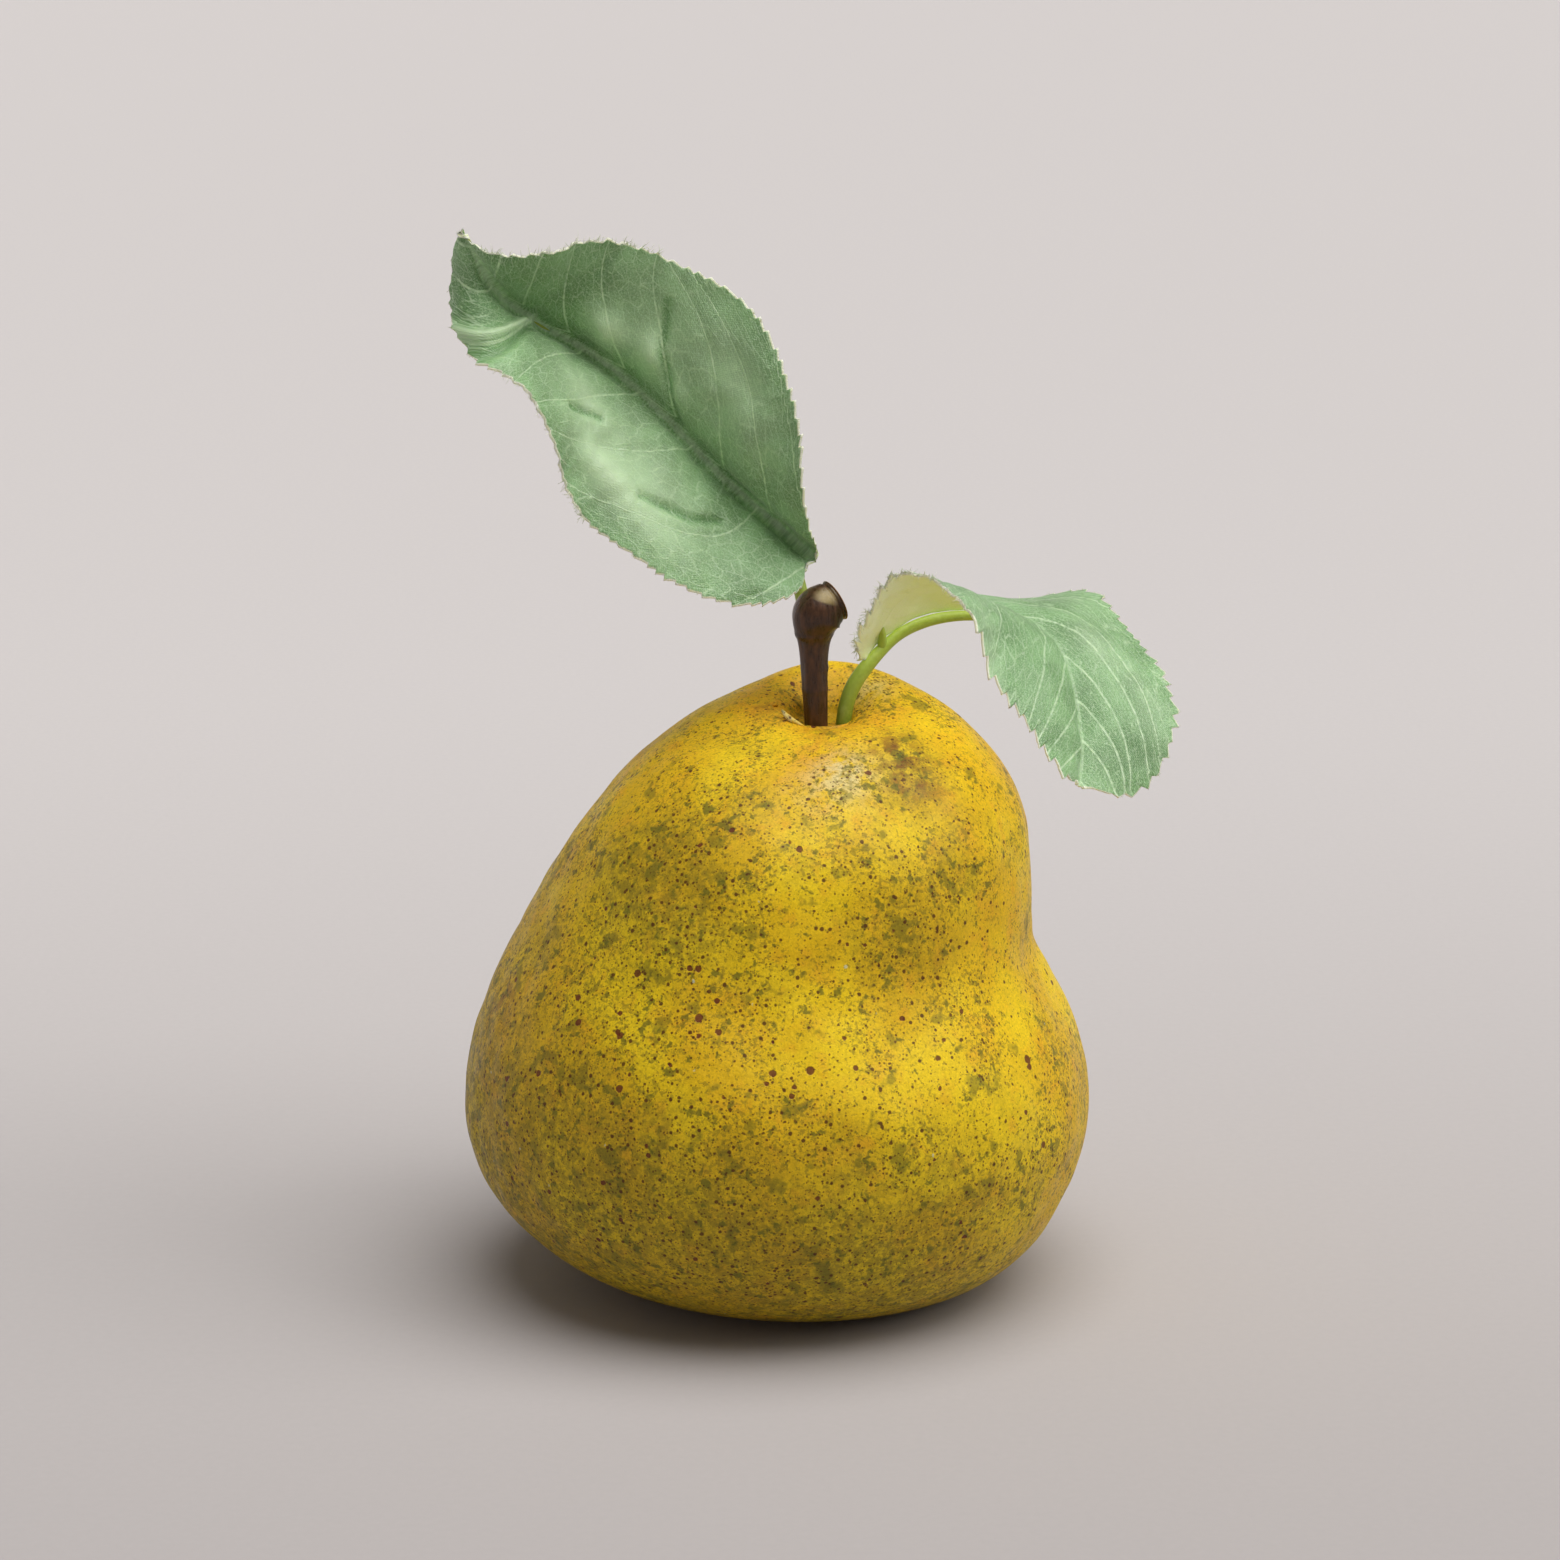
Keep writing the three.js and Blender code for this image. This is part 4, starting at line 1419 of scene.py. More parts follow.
@dataclass
class Stem:
    """The brown moulded stem: a fluted shaft, a hooked head and a thin flange round its end.

    The groove and the flange are places along the path, 0 to 1. The seam is a turn in radians. The head
    carries a painted highlight round a place in millimetres, cut off below a slanting height, and an amber
    painted glow along the flange and the seam.
    """

    path: Sequence[Bead] = (
        (5.35, -0.9, 64, 1.35), (5.35, -0.9, 69, 1.4), (5.3, -0.9, 74.5, 1.45), (5.05, -0.9, 79.5, 1.65),
        (4.9, -0.9, 83.5, 1.75), (4.9, -0.9, 86, 2.1), (5, -1, 88.2, 3.2), (5.7, -0.9, 89.4, 3.3),
        (6.6, -0.6, 90.1, 2.95), (7.4, -0.3, 90.5, 2.75), (7.8, -0.1, 90.7, 2.4), (8, 0, 90.8, 1.2),
    )
    rings: int = 260
    sides: int = 72
    groove: float = 0.81
    flange: float = 0.88
    seam_turn: float = 2.9
    highlight_place: Point = (6.4, -2.9, 91.5)
    highlight_foot: float = 90.85

    def relief(self, share: Array, turn: Array) -> Array:
        """Extra radius: shallow flutes and knots on the shaft, a groove, a flange and a mould seam.

        Args:
            share: places along the path, 0 to 1.
            turn: turns round it.

        Returns:
            Millimetres to add to the radius.
        """
        shaft = 1 - smooth_step(share, 0.5, 0.65)
        flutes = 0.05 * np.sin(3 * turn + 4 * share) + 0.04 * np.sin(7 * turn - 9 * share)
        knots = 0.07 * bell(share - 0.33, 0.012) * (1 + np.cos(turn - 1)) + 0.05 * bell(share - 0.27, 0.008)
        knots = knots + 0.1 * bell(share - 0.47, 0.015) * (1 + 0.5 * np.cos(turn - 2.5))
        notch = -0.22 * bell(share - self.groove, 0.016)
        lip = 0.3 * bell(share - self.flange, 0.018)
        seam = 0.1 * self._seam(turn, 0.07) * (1 - smooth_step(share, 0.7, 0.78))
        return shaft * (flutes + knots) + notch + lip + seam

    def _seam(self, turn: Array, reach: float) -> Array:
        """A bell curve of the angle from the mould seam, 1 on it; reach is in radians."""
        return bell(np.angle(np.exp(1j * (turn - self.seam_turn))), reach)

    def build(self, effects: Effects) -> bpy.types.Object:
        """Makes the stem.

        Args:
            effects: the shared node groups.

        Returns:
            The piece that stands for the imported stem.
        """
        share = np.linspace(0, 1, self.rings)
        rings = rod_rings(spline(self.path, share), self.sides, self.relief)
        turn = np.linspace(0, 2 * math.pi, self.sides, endpoint=False)[None, :]
        # Painted glow: amber where light shines through the thin flange and the seam on the head.
        lip = 0.8 * bell(share - self.flange, 0.01)[:, None]
        head = smooth_step(share, 0.5, 0.62) * (1 - smooth_step(share, 0.76, 0.8))
        thin = np.maximum(lip, 0.55 * self._seam(turn, 0.1) * head[:, None])
        # Painted highlight: beige on the head's top front, with a sharp lower edge, where the lamp's
        # reflection lies.
        pale_and_highlight = 1 - smooth_step(np.linalg.norm(rings - np.array(self.highlight_place), axis=-1), 0.4, 2.0)
        slant = rings[..., 2] + 0.3 * (rings[..., 0] - self.highlight_place[0])
        painted_highlight = 0.9 * pale_and_highlight * smooth_step(slant, self.highlight_foot, self.highlight_foot + 0.3)
        values = {"thin": pole_values(thin), "painted_highlight": pole_values(painted_highlight)}
        material = StemPlastic().material(effects)
        faces = ring_faces(self.rings, self.sides)
        piece = make_piece("stem_rod", ring_vertices(rings), faces, material, values)
        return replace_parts(piece, "stem")


# ---------------------------------------------------------------- leaves


class Side(Enum):
    """The two halves of a leaf, as seen on the printed face with the tip pointing up."""

    LEFT = -1
    RIGHT = 1


@dataclass(frozen=True)
class Bump:
    """A soft swelling or dent of the cloth at a place on the flat leaf, in millimetres; tilt is in degrees.

    Its last field lightens the print above 0, a painted highlight, and darkens it below 0, painted shade.
    With no height only the print changes.
    """

    along: float
    across: float
    height: float
    long_reach: float
    cross_reach: float
    tilt: float = 0.0
    wear_sheen_and_shade: float = 0.0

    def near(self, along: Array, across: Array) -> Array:
        """How near a place on the flat leaf is: a bell curve along two tilted axes.

        Args:
            along: distance from the stalk end, in millimetres.
            across: distance from the midrib, negative on the left half.

        Returns:
            1 in the middle, 0 far away.
        """
        turn = math.radians(self.tilt)
        ahead = (along - self.along) * math.cos(turn) + (across - self.across) * math.sin(turn)
        aside = (across - self.across) * math.cos(turn) - (along - self.along) * math.sin(turn)
        return bell(ahead, self.long_reach) * bell(aside, self.cross_reach)


@dataclass(frozen=True)
class Crease:
    """A sharp fold line on the flat leaf: a ridge, or a groove where its height is negative.

    Height and the last field mean what they do in a bump. On the tip's fold ridge the pale line is partly
    rubbed print and partly painted sheen; in the grooves the darkening is painted shade.
    """

    line: Sequence[Pair]
    height: float
    reach: float
    wear_sheen_and_shade: float = 0.0

    def near(self, flat: Array, reach: float) -> Array:
        """A bell curve of the distance to the line.

        Args:
            flat: distances from the stalk end and from the midrib, negative on the left half.
            reach: width of the bell curve.

        Returns:
            1 on the line, 0 far from it.
        """
        nearest = np.full(flat.shape[:-1], np.inf)
        for start, end in zip(self.line, self.line[1:]):
            one, way = np.array(start), np.subtract(end, start)
            share = np.clip((flat - one) @ way / (way @ way), 0, 1)
            nearest = np.minimum(nearest, np.linalg.norm(flat - one - share[..., None] * way, axis=-1))
        return bell(nearest, reach)


@dataclass(frozen=True)
class VeinFan:
    """The side veins of one half: where each starts, how it leans to the tip and how it hooks.

    Vein k runs along s = start + lean * w + hook * w cubed, where s is the distance from the stalk end
    and w the distance from the midrib. Between two veins all three change in proportion.
    """

    starts: Sequence[float]
    leans: Sequence[float]
    hooks: Sequence[float]
    halvings: int = 26
    step: float = 0.1

    def count(self, along: Array, across: Array) -> tuple[Array, Array]:
        """Counts the side veins from the stalk end, in fractions, by halving an interval.

        Args:
            along: distances from the stalk end, in millimetres.
            across: distances from the midrib, in millimetres, never negative.

        Returns:
            The count, and the distance between two veins measured square to them.
        """
        low = np.zeros_like(along)
        high = np.full_like(along, len(self.starts) - 1.0)
        for _ in range(self.halvings):
            middle = (low + high) / 2
            beyond = self._reach(middle, across) > along
            high = np.where(beyond, middle, high)
            low = np.where(beyond, low, middle)
        count = (low + high) / 2
        half = self.step / 2
        spacing = (self._reach(count + half, across) - self._reach(count - half, across)) / self.step
        slope = (self._reach(count, across + self.step) - self._reach(count, across)) / self.step
        return count, np.clip(spacing / np.sqrt(1 + slope**2), 0.5, 20)

    def _reach(self, count: Array, across: Array) -> Array:
        """How far from the stalk end a vein is.

        Args:
            count: the vein's number, in fractions.
            across: distance from the midrib, in millimetres.

        Returns:
            Distance from the stalk end, in millimetres.
        """
        numbers = np.arange(len(self.starts))
        start, lean, hook = (np.interp(count, numbers, row) for row in (self.starts, self.leans, self.hooks))
        return start + lean * across + hook * across**3


@dataclass(frozen=True)
class Fray:
    """A stretch of margin with loose fibres."""

    side: Side
    start: float
    end: float
    per_mm: float
    length: float


@dataclass
class Leaf:
    """A die-cut leaf of printed cloth, hung on three rails, glued along a moulded stalk.

    The rails, the stalk's path and the side rib are design millimetres, the last two with a radius. The
    teeth are a pitch and a depth, and the valley along the midrib a depth and a reach. The flat size and
    area are in metres.
    """

    name: str
    stalk_path: Sequence[Bead]
    midrib: Sequence[Point]
    left: Sequence[Point]
    right: Sequence[Point]
    flat: Pair
    flat_area: float
    fans: dict[Side, VeinFan]
    teeth: dict[Side, Pair]
    valley: Pair
    frays: Sequence[Fray]
    seed: int
    bumps: Sequence[Bump] = ()
    creases: Sequence[Crease] = ()
    side_rib: Sequence[Bead] = ()
    bulge: float = 0.8
    quilt: float = 0.3
    thickness: float = 0.32
    casts_shadow: bool = True
    rows: int = 330
    half_columns: int = 44
    rib_taper: Pair = (0.85, 0.3)
    rib_stations: Sequence[float] = (0.1, 0.18, 0.27, 0.36, 0.45, 0.54, 0.63, 0.72, 0.81, 0.9)
    rib_rings: int = 200
    rib_sides: int = 24
    side_rib_rings: int = 40
    side_rib_sides: int = 16
    fibre_radii: Sequence[float] = (0.05, 0.048, 0.042, 0.034, 0.02)

    def _rail(self, fraction: Array, side: Side) -> Array:
        """The margin of one half, without its teeth."""
        return spline(self.left if side is Side.LEFT else self.right, fraction)

    def _half_normal(self, fraction: Array, side: Side) -> Array:
        """The way that one half faces at the midrib.

        Args:
            fraction: places along the leaf.
            side: which half.

        Returns:
            Unit normals.
        """
        step = 0.01
        along = spline(self.midrib, fraction + step) - spline(self.midrib, fraction - step)
        outwards = self._rail(fraction, side) - spline(self.midrib, fraction)
        return unit(np.cross(along, outwards) if side is Side.LEFT else np.cross(outwards, along))

    def _tooth(self, fraction: Array, side: Side) -> Array:
        """How far the margin's teeth stand out: a slow rise towards the tip and a sharp drop.

        Args:
            fraction: places along the leaf.
            side: which half.

        Returns:
            Millimetres beyond the margin's rail.
        """
        pitch, depth = self.teeth[side]
        rail = self._rail(fraction, side)
        length = run_length(rail)
        random = np.random.default_rng(self.seed * 7 + side.value)
        edges = np.cumsum(pitch * random.uniform(0.65, 1.35, int(length[-1] / pitch) + 8))
        number = np.searchsorted(edges, length)
        start = np.concatenate([[0], edges])[number]
        phase = (length - start) / (edges[number] - start)
        height = depth * random.uniform(0.55, 1.25, len(edges) + 1)[number]
        width = np.linalg.norm(rail - spline(self.midrib, fraction), axis=1)
        room = np.clip(width / 4, 0, 1) * np.clip((1 - fraction) / 0.03, 0, 1)
        return height * room * phase**1.3 * (1 - smooth_step(phase, 0.86, 1.0))

    def _half(self, fraction: Array, reach: Array, side: Side) -> tuple[Array, Array, Array]:
        """One half of the printed face.

        A point lies straight between the midrib and the margin, lifted by a soft bulge. The margin's
        teeth move only the outer fifth of the half.

        Args:
            fraction: places along the leaf, one for each row.
            reach: shares of the way from midrib to margin, one for each column.
            side: which half.

        Returns:
            Points, and their distances along and away from the midrib on the flat cloth.
        """
        middle = spline(self.midrib, fraction)
        rail = self._rail(fraction, side)
        offset = rail - middle
        along = unit(np.gradient(middle, axis=0))
        outwards = unit(offset)
        tooth = self._tooth(fraction, side)[:, None]
        edge = np.clip((reach - 0.8) / 0.2, 0, 1)[None, :, None] ** 2
        push = (outwards * tooth + unit(np.gradient(rail, axis=0)) * tooth * 0.35)[:, None, :] * edge
        lift = self.bulge * 4 * reach * (1 - reach) * np.sin(math.pi * fraction)[:, None]
        facing = self._half_normal(fraction, side)[:, None, :]
        points = middle[:, None] + offset[:, None] * reach[None, :, None] + facing * lift[..., None] + push
        lean = (offset * along).sum(1)
        width = np.linalg.norm(offset - along * lean[:, None], axis=1)
        return points, run_length(middle)[:, None] + lean[:, None] * reach, width[:, None] * reach

    def face(self) -> dict[str, Array]:
        """The printed face with its quilting, bumps, creases and valley.

        Returns:
            Its points, its places on the flat cloth, its vein count and pitch, and its painted highlights and
            shade on the print (partly rubbed print on the tip's fold), rows by columns.
        """
        fraction = np.linspace(0, 1, self.rows)
        reach = np.linspace(0, 1, self.half_columns + 1)
        halves = []
        for side in Side:
            points, along, across = self._half(fraction, reach, side)
            count, pitch = self.fans[side].count(along, across)
            halves.append((points, along, side.value * across, count, pitch))
        points, along, across, count, pitch = (
            np.concatenate([left[:, ::-1], right[:, 1:]], 1) for left, right in zip(*halves)
        )
        flat = np.stack([along, across], -1)
        inside = smooth_step(np.abs(across), 0.2, 3) * (1 - smooth_step(np.abs(across), 11, 19))
        pillow = np.abs(np.sin(math.pi * count)) ** 0.7
        rise = self.quilt * inside * (pillow - 0.5)
        # Painted highlights and shade on the print, summed from the bumps and the creases.
        wear_sheen_and_shade = np.zeros_like(along)
        for bump in self.bumps:
            near = bump.near(along, across)
            rise = rise + bump.height * near
            wear_sheen_and_shade = wear_sheen_and_shade + bump.wear_sheen_and_shade * near
        for crease in self.creases:
            rise = rise + crease.height * crease.near(flat, crease.reach)
            wear_sheen_and_shade = wear_sheen_and_shade + crease.wear_sheen_and_shade * crease.near(flat, 0.7 * crease.reach)
        rise = rise - self.valley[0] * np.exp(-np.abs(across) / self.valley[1])
        rise = rise + Lumps(0.12, 7, self.seed).at(flat) + Lumps(0.05, 2.6, self.seed + 20).at(flat)
        points = points + grid_normals(points, False) * rise[..., None]
        return {"points": points, "flat": flat, "vein_count": count, "vein_pitch": pitch, "wear_sheen_and_shade": wear_sheen_and_shade}

    def build(self, finishes: dict[str, bpy.types.Material]) -> bpy.types.Object:
        """Makes the blade, its loose fibres and its stalk.

        Args:
            finishes: the materials of cloth, fibres and stalks.

        Returns:
            The blade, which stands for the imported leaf.
        """
        parts = self.face()
        face, flat = parts["points"], parts["flat"].reshape(-1, 2)
        back = face - grid_normals(face, False) * self.thickness
        rows, columns = face.shape[:2]
        cut = np.zeros((rows, columns))
        cut[0, :] = cut[-1, :] = cut[:, 0] = cut[:, -1] = 1.0
        values = {"cut_edge": np.tile(cut.ravel(), 2), "underside": np.repeat([0.0, 1.0], rows * columns)}
        for name in ("vein_count", "vein_pitch", "wear_sheen_and_shade"):
            values[name] = np.tile(parts[name].ravel(), 2)
        points = np.concatenate([face.reshape(-1, 3), back.reshape(-1, 3)])
        faces = sheet_faces(rows, columns)
        cloth_map = np.concatenate([flat, flat])
        blade = make_piece(
            f"{self.name}_blade", points, faces, finishes["cloth"], values, cloth_map,
        )
        blade.visible_shadow = self.casts_shadow
        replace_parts(blade, self.name)
        fibres = self.fray(face, finishes["fibre"])
        stalk = self.stalk(finishes["stalk"])
        return blade

    def fray(self, face: Array, material: bpy.types.Material) -> bpy.types.Object:
        """Makes the loose fibres: thin three-sided threads that leave the margin and bend.

        A fibre's middle line is its root, plus its way times the distance, plus a bend that grows with
        the distance squared.

        Args:
            face: points of the printed face, rows by columns.
            material: the fibres' finish.

        Returns:
            One mesh with all the fibres.
        """
        margins = {Side.LEFT: face[:, :3], Side.RIGHT: face[:, :-4:-1]}
        random = np.random.default_rng(self.seed + 40)
        roots, ways, lengths = [], [], []
        for fray in self.frays:
            margin = margins[fray.side]
            low, high = int(fray.start * (len(margin) - 1)), int(fray.end * (len(margin) - 1))
            span = np.linalg.norm(np.diff(margin[low:high, 0], axis=0), axis=1).sum()
            number = max(int(span * fray.per_mm), 3)
            row = random.integers(low, high, number)
            outwards = unit(margin[row, 0] - margin[row, 2])
            along = unit(margin[np.minimum(row + 2, len(margin) - 1), 0] - margin[np.maximum(row - 2, 0), 0])
            way = outwards + along * random.normal(0, 0.7, (number, 1)) + random.normal(0, 0.35, (number, 3))
            roots.append(margin[row, 0] - outwards * 0.12)
            ways.append(unit(way))
            lengths.append(fray.length * random.uniform(0.35, 1.25, number))
        root, way, length = np.concatenate(roots), np.concatenate(ways), np.concatenate(lengths)
        side = unit(np.cross(way, random.normal(size=way.shape)))
        third = np.cross(way, side)
        bend = random.normal(0, 0.45, (len(root), 1, 1))
        share = np.linspace(0, 1, len(self.fibre_radii))[None, :, None]
        centre = way[:, None] * share + side[:, None] * bend * share**2
        centre = root[:, None] + centre * length[:, None, None]
        turn = np.linspace(0, 2 * math.pi, FIBRE_SIDES, endpoint=False)[:, None]
        ring = side[:, None, None] * np.cos(turn) + third[:, None, None] * np.sin(turn)
        grid = centre[:, :, None] + ring * np.array(self.fibre_radii)[:, None, None]
        last = FIBRE_SIDES * (len(self.fibre_radii) - 1)
        faces = [np.arange(FIBRE_SIDES)[::-1], last + np.arange(FIBRE_SIDES)]
        for start in range(0, last, FIBRE_SIDES):
            for k in range(FIBRE_SIDES):
                one, two = start + k, start + (k + 1) % FIBRE_SIDES
                faces.append(np.array([one, two, two + FIBRE_SIDES, one + FIBRE_SIDES]))
        first = np.arange(len(root))[:, None] * (last + FIBRE_SIDES)
        faces = [one for corners in faces for one in (first + corners).tolist()]
        return make_piece(f"{self.name}_fibres", grid.reshape(-1, 3), faces, material)

    def stalk(self, material: bpy.types.Material) -> bpy.types.Object:
        """Makes the stalk: out of the pocket, then on as a tapering rib glued under the midrib.

        Args:
            material: the stalks' finish.

        Returns:
            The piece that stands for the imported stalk.
        """
        fraction = np.array(self.rib_stations)
        upward = unit(self._half_normal(fraction, Side.LEFT) + self._half_normal(fraction, Side.RIGHT))
        radius = np.interp(fraction, [0, 1], self.rib_taper)
        drop = self.thickness + 0.9 * radius + self.valley[0]
        centre = spline(self.midrib, fraction) - upward * drop[:, None]
        guide = np.vstack([np.array(self.stalk_path, float), np.column_stack([centre, radius])])
        path = spline(guide, np.linspace(0, 1, self.rib_rings))
        rings = rod_rings(path, self.rib_sides, self._ripple)
        foot = pole_values(np.broadcast_to(1 - smooth_step(path[:, 2], 72, 81)[:, None], rings.shape[:2]))
        points, faces = ring_vertices(rings), ring_faces(self.rib_rings, self.rib_sides)
        if self.side_rib:
            branch = spline(self.side_rib, np.linspace(0, 1, self.side_rib_rings))
            more = ring_vertices(rod_rings(branch, self.side_rib_sides))
            more_faces = ring_faces(self.side_rib_rings, self.side_rib_sides)
            faces = faces + [[vertex + len(points) for vertex in one] for one in more_faces]
            points = np.concatenate([points, more])
            foot = np.concatenate([foot, np.zeros(len(more))])
        node = self.name.replace("leaf_", "leaf_stalk_")
        piece = make_piece(f"{self.name}_rib", points, faces, material, {"foot": foot})
        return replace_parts(piece, node)

    def _ripple(self, share: Array, turn: Array) -> Array:
        """Slight unevenness of the moulded stalk, in millimetres."""
        return 0.03 * np.sin(2 * turn + 30 * share)


def left_leaf() -> Leaf:
    """The upper left leaf, folded along its midrib with its tip turned over.

    Returns:
        The leaf, not yet built.
    """
    return Leaf(
        name="leaf_left",
        stalk_path=(
            (5.2, 2, 64, 0.9), (5.2, 2, 70, 0.9), (5.1, 2.2, 76, 0.9),
            (4.6, 2.8, 83, 0.9), (3.9, 3.7, 89, 0.9),
        ),
        midrib=(
            (5, 3.5, 95), (0.5, 5.5, 99), (-6.5, 7, 104.5), (-12, 7.5, 111), (-20, 7.5, 119),
            (-25, 6.5, 122.5), (-31, 4.5, 126), (-34.5, -0.5, 130), (-37.5, -3.5, 134.4), (-39.5, -3.5, 138),
        ),
        left=(
            (4.5, 3.5, 94), (3, -2, 91), (-8, -4, 90.5), (-18, -5.5, 98), (-26, -4.5, 103),
            (-26.5, -6.5, 111.5), (-31, -9.5, 121.5), (-38.5, -7, 122.4), (-41, 2, 129), (-39.9, -2, 137.2),
        ),
        right=(
            (5.5, 3.5, 95.5), (3, -3, 103), (3.5, -3, 111.5), (1.2, 0, 120.5), (-3, 3.5, 128.5),
            (-10.5, 4, 132), (-21, 1, 137.5), (-28.5, -4, 135), (-36, -5, 135), (-39.1, -3.5, 137.9),
        ),
        flat=(0.039, 0.066),
        flat_area=0.00178,
        fans={
            Side.LEFT: VeinFan(
                (-9, 0, 10, 21.3, 31, 40, 48, 56, 63, 72), (0.1, 0.15, -0.03, 0.6, 0.9, 1, 1, 1, 1, 1),
                (0.001, 0.001, 0.004, 0.003, 0.001, 0, 0, 0, 0, 0),
            ),
            Side.RIGHT: VeinFan(
                (-9, -1, 7.5, 16, 25, 34, 42.3, 50, 57, 64, 72),
                (0.5, 0.5, 0.55, 0.9, 1.2, 1.15, 1.05, 1, 1, 1, 1),
                (0.003, 0.003, 0.0045, 0.002, -0.001, -0.0005, 0, 0, 0, 0, 0),
            ),
        },
        teeth={Side.LEFT: (1.9, 0.75), Side.RIGHT: (2.1, 0.75)},
        # The last number of a bump paints light on the print: pale painted highlights on the swellings and
        # over both halves, painted shade near the tip.
        bumps=(
            Bump(40, 4.6, 1.7, 3.6, 2.2, 20, 0.75),
            Bump(33.9, 5.7, 1.5, 2.6, 2, 40, 0.6),
            Bump(28, 3.6, 0.9, 2.4, 1.6, 40, 0.3),
            Bump(29, -13.5, 1.2, 9, 2.6, 5, 0.75),
            Bump(38, -7, 0.4, 6, 2.5, 15, 0.5),
            Bump(18, -13, 0.4, 7, 3.5, 10, 0.35),
            Bump(18, 9, 0.8, 5, 3, 40, 0.0),
            Bump(28, -9, 0.0, 18, 6, 0, 0.6),
            Bump(28, 9, 0.0, 18, 8, 0, 0.45),
            Bump(52, 6, 0.0, 8, 6, 0, -0.45),
            Bump(24, 12, 0.0, 6, 3, 20, 0.3),
        ),
        # The last number of a crease paints the print: a pale line on the tip's fold ridge, partly rubbed
        # print and partly painted sheen, and painted shade in the grooves and along the midrib.
        creases=(
            Crease(((48.3, 0), (54.6, -5.4), (58.5, -9.5)), 0.9, 0.7, 0.9),
            Crease(((49, -1.6), (54, -7.2), (57, -10.4)), -0.7, 0.6, -0.9),
            Crease(((39.9, -10.2), (33.7, -7.8)), -0.6, 0.55, -1.0),
            Crease(((22.3, -11.8), (15.2, -8.5), (12.4, -5.3)), -0.7, 0.65, -0.8),
            Crease(((25, 0.5), (32.9, 6.6), (35.6, 11.9)), -0.5, 0.6, -0.8),
            Crease(((46, 0.9), (24, 0.9), (8, 0.4)), 0.0, 0.8, -0.2),
        ),
        valley=(1.1, 1.8),
        frays=(
            Fray(Side.RIGHT, 0.6, 0.93, 5.0, 1.1),
            Fray(Side.RIGHT, 0.05, 0.6, 1.0, 0.35),
            Fray(Side.LEFT, 0.42, 0.72, 5.0, 0.9),
            Fray(Side.LEFT, 0.03, 0.42, 1.2, 0.35),
            Fray(Side.LEFT, 0.72, 0.98, 1.5, 0.4),
        ),
        seed=3,
    )


def right_leaf() -> Leaf:
    """The right leaf, arched over, its near half curled up to show the cloth's back.

    Returns:
        The leaf, not yet built.
    """
    return Leaf(
        name="leaf_right",
        stalk_path=(
            (8.4, -0.2, 64, 1), (8.4, -0.2, 69, 1), (8.6, -0.1, 74, 1),
            (9.3, 0.1, 78.3, 1), (11.1, 0.6, 81.2, 0.95),
        ),
        midrib=(
            (11, 1, 82.7), (13, 2.5, 85.3), (17.2, 4, 88.3), (24, 5, 89.3), (31, 3, 88.8),
            (35.5, -1.5, 87), (37.5, -6.5, 83.5), (38.5, -12, 77.5), (38.5, -17, 73), (38, -19, 71.5),
        ),
        left=(
            (11.3, 1.2, 82.5), (12.8, 8, 87.8), (16.5, 14.5, 91), (23.5, 17, 87.5), (33.5, 16, 86.5),
            (41.5, 12, 90.5), (44.5, 5.5, 86), (52.5, -9.5, 79.5), (46, -16, 67.5), (38.4, -19, 71.5),
        ),
        right=(
            (10.7, 0.8, 83), (10.2, -4.5, 86.5), (13.2, -6.8, 94), (17, -8.5, 97.4), (26, -11.2, 92),
            (26.5, -13, 84), (31, -16, 80), (33.5, -20, 76.5), (36.5, -21, 73), (37.6, -19.2, 71.6),
        ),
        flat=(0.031, 0.052),
        flat_area=0.001205,
        fans={
            Side.LEFT: VeinFan(
                (-8, 1, 14, 24, 33, 40, 46, 52, 60), (1.2, 1.4, 2.2, 2, 1.8, 1.5, 1.2, 1, 1),
                (0.004, 0.006, 0.012, 0.012, 0.02, 0.01, 0, 0, 0),
            ),
            Side.RIGHT: VeinFan(
                (-8, 2, 12, 26, 34, 41, 47, 53, 60), (1, 1, 1.6, 2.2, 1.8, 1.4, 1.2, 1, 1), (0,) * 9,
            ),
        },
        teeth={Side.LEFT: (2.3, 1.2), Side.RIGHT: (2.4, 1.7)},
        # The last number of a bump paints light on the print: painted highlights where it is above 0, painted
        # shade where it is below.
        bumps=(
            Bump(32, -4, 0.7, 4, 1.8, -15, 0.4),
            Bump(38, -8, 0.4, 8, 2, -15, 0.25),
            Bump(24, -9, -0.5, 6, 3, 0, 0.1),
            Bump(36, 6, 0, 12, 8, 0, -0.3),
            Bump(34, 14, 0, 12, 4, 0, 0.5),
            Bump(40, 5, 0.5, 4, 3, 20),
        ),
        valley=(0.35, 1.5),
        frays=(
            Fray(Side.RIGHT, 0.03, 0.45, 9.0, 0.9),
            Fray(Side.RIGHT, 0.42, 0.95, 1.5, 0.4),
            Fray(Side.LEFT, 0.55, 0.97, 1.2, 0.35),
            Fray(Side.LEFT, 0.03, 0.55, 1.2, 0.4),
        ),
        side_rib=(
            (13.7, 2.0, 83.9, 0.7), (13.75, 1.6, 85, 0.55), (13.7, 1.1, 86.2, 0.4), (13.6, 0.6, 87.3, 0.2),
        ),
        quilt=0.15,
        casts_shadow=False,
        seed=8,
    )


# ---------------------------------------------------------------- studio


@dataclass(frozen=True)
class Lamp:
    """A distant soft lamp: its turn from the right towards the back, its height and width in degrees."""

    name: str
    turn: float
    height: float
    width: float
    strength: float


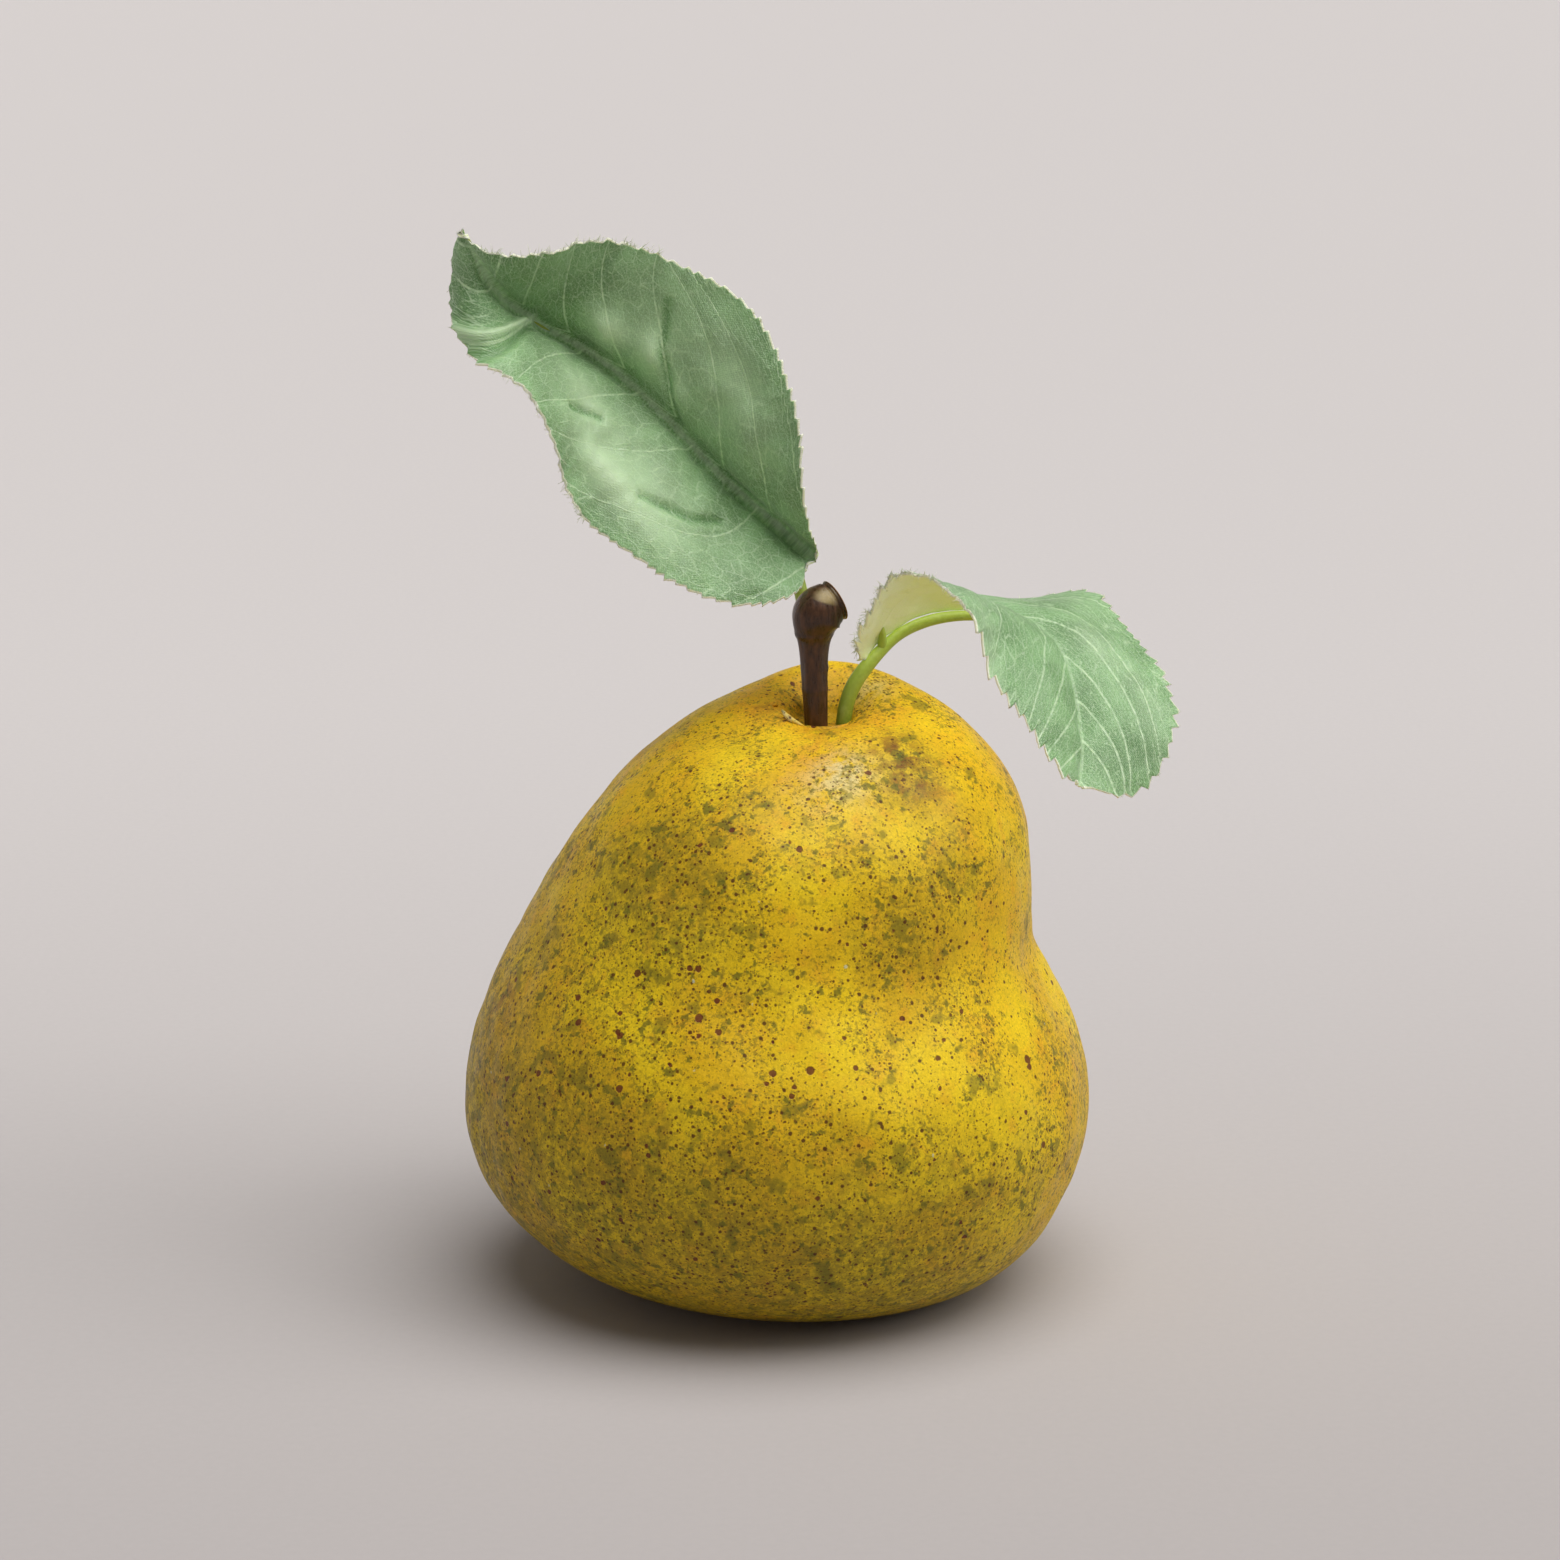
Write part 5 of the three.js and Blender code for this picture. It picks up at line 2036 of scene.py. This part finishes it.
@dataclass
class Studio:
    """A pale paper floor that curves up far away, large soft lamps, a dim room and a camera.

    Distances are in metres, except the camera's place; the fill is the room's light.
    """

    floor_radius: float = 3.0
    wall_radius: float = 1.6
    floor_sides: int = 96
    flat_rings: int = 24
    bend_rings: int = 15
    camera_mm: Point = (0.64, -598.9, 227.4)
    camera_tilt: float = 75.0
    lens: float = 111.44
    sensor_width: float = 36.0
    lamps: Sequence[Lamp] = (Lamp("key", -38, 75, 58, 2.6), Lamp("side", -15, 32, 42, 0.85))
    lamp_colour: Colour = (1.0, 0.985, 0.96)
    fill_colour: Colour = (1.0, 0.985, 0.98)
    fill_above: float = 0.3
    fill_level: float = 0.01

    def floor(self) -> bpy.types.Object:
        """Makes the floor: a flat disc whose rim rises in a quarter circle.

        Returns:
            The floor.
        """
        sides = self.floor_sides
        turn = np.linspace(0, 2 * math.pi, sides, endpoint=False)
        flat = np.linspace(0.02, 1, self.flat_rings) * self.floor_radius
        bend = np.linspace(0, math.pi / 2, self.bend_rings + 1)[1:]
        radius = np.concatenate([flat, self.floor_radius + self.wall_radius * np.sin(bend)])[:, None]
        height = np.concatenate([np.zeros(self.flat_rings), self.wall_radius * (1 - np.cos(bend))])[:, None]
        grid = np.stack(np.broadcast_arrays(radius * np.cos(turn), radius * np.sin(turn), height), -1)
        side = np.arange(sides)
        following = (side + 1) % sides
        row = np.arange(len(grid) - 1)[:, None] * sides
        a, b = (row + side).ravel(), (row + following).ravel()
        quads = np.stack([a, a + sides, b + sides, b], -1).tolist()
        middle = np.stack([np.full(sides, len(grid) * sides), side, following], -1).tolist()
        mesh = bpy.data.meshes.new("floor")
        vertices = np.concatenate([grid.reshape(-1, 3), [[0, 0, 0]]])
        mesh.from_pydata(vertices.tolist(), [], quads + middle)
        mesh.polygons.foreach_set("use_smooth", np.ones(len(mesh.polygons), bool))
        mesh.materials.append(FloorPaper().material())
        floor = bpy.data.objects.new("floor", mesh)
        bpy.context.scene.collection.objects.link(floor)
        return floor

    def lights(self) -> None:
        """Places the soft lamps."""
        for lamp in self.lamps:
            data = bpy.data.lights.new(lamp.name, "SUN")
            data.angle = math.radians(lamp.width)
            data.energy = lamp.strength
            data.color = self.lamp_colour
            shining = bpy.data.objects.new(lamp.name, data)
            shining.rotation_euler = (math.radians(90 - lamp.height), 0, math.radians(lamp.turn + 90))
            bpy.context.scene.collection.objects.link(shining)

    def room(self) -> None:
        """Lights the object from all round, brighter from above than from its own level."""
        world = bpy.data.worlds.new("room")
        world.use_nodes = True
        background = world.node_tree.nodes["Background"]
        background.inputs["Color"].default_value = (*self.fill_colour, 1.0)
        n = Nodes(world.node_tree)
        rise = n.add("ShaderNodeMapRange")
        rise.inputs["To Min"].default_value = self.fill_level
        rise.inputs["To Max"].default_value = self.fill_above
        n.feed(rise.inputs["Value"], n.split(n.add("ShaderNodeTexCoord").outputs["Generated"])[2])
        n.feed(background.inputs["Strength"], rise.outputs["Result"])
        bpy.context.scene.world = world

    def camera(self) -> None:
        """Places the camera in front, a little above, looking slightly down."""
        data = bpy.data.cameras.new("camera")
        data.lens = self.lens
        data.sensor_width = self.sensor_width
        data.clip_start = 0.05
        camera = bpy.data.objects.new("camera", data)
        camera.location = Row.metres(np.array(self.camera_mm))
        camera.rotation_euler = (math.radians(self.camera_tilt), 0, 0)
        bpy.context.scene.collection.objects.link(camera)
        bpy.context.scene.camera = camera
        bpy.context.scene.view_settings.view_transform = "Standard"

    def build(self) -> None:
        """Makes the floor, the lights, the room and the camera."""
        self.floor()
        self.lights()
        self.room()
        self.camera()


def main() -> None:
    """Builds every sub-assembly."""
    logging.basicConfig(level=logging.INFO, format="%(name)s: %(message)s")
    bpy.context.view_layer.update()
    effects = Effects()
    Fruit().build(effects)
    FlowerEnd().build(effects)
    Stem().build(effects)
    finishes = {
        "cloth": PrintedFabric().material(effects),
        "fibre": FrayedThread().material(),
        "stalk": StalkPlastic().material(effects),
    }
    left_leaf().build(finishes)
    right_leaf().build(finishes)
    Studio().build()


if __name__ == "__main__":
    main()
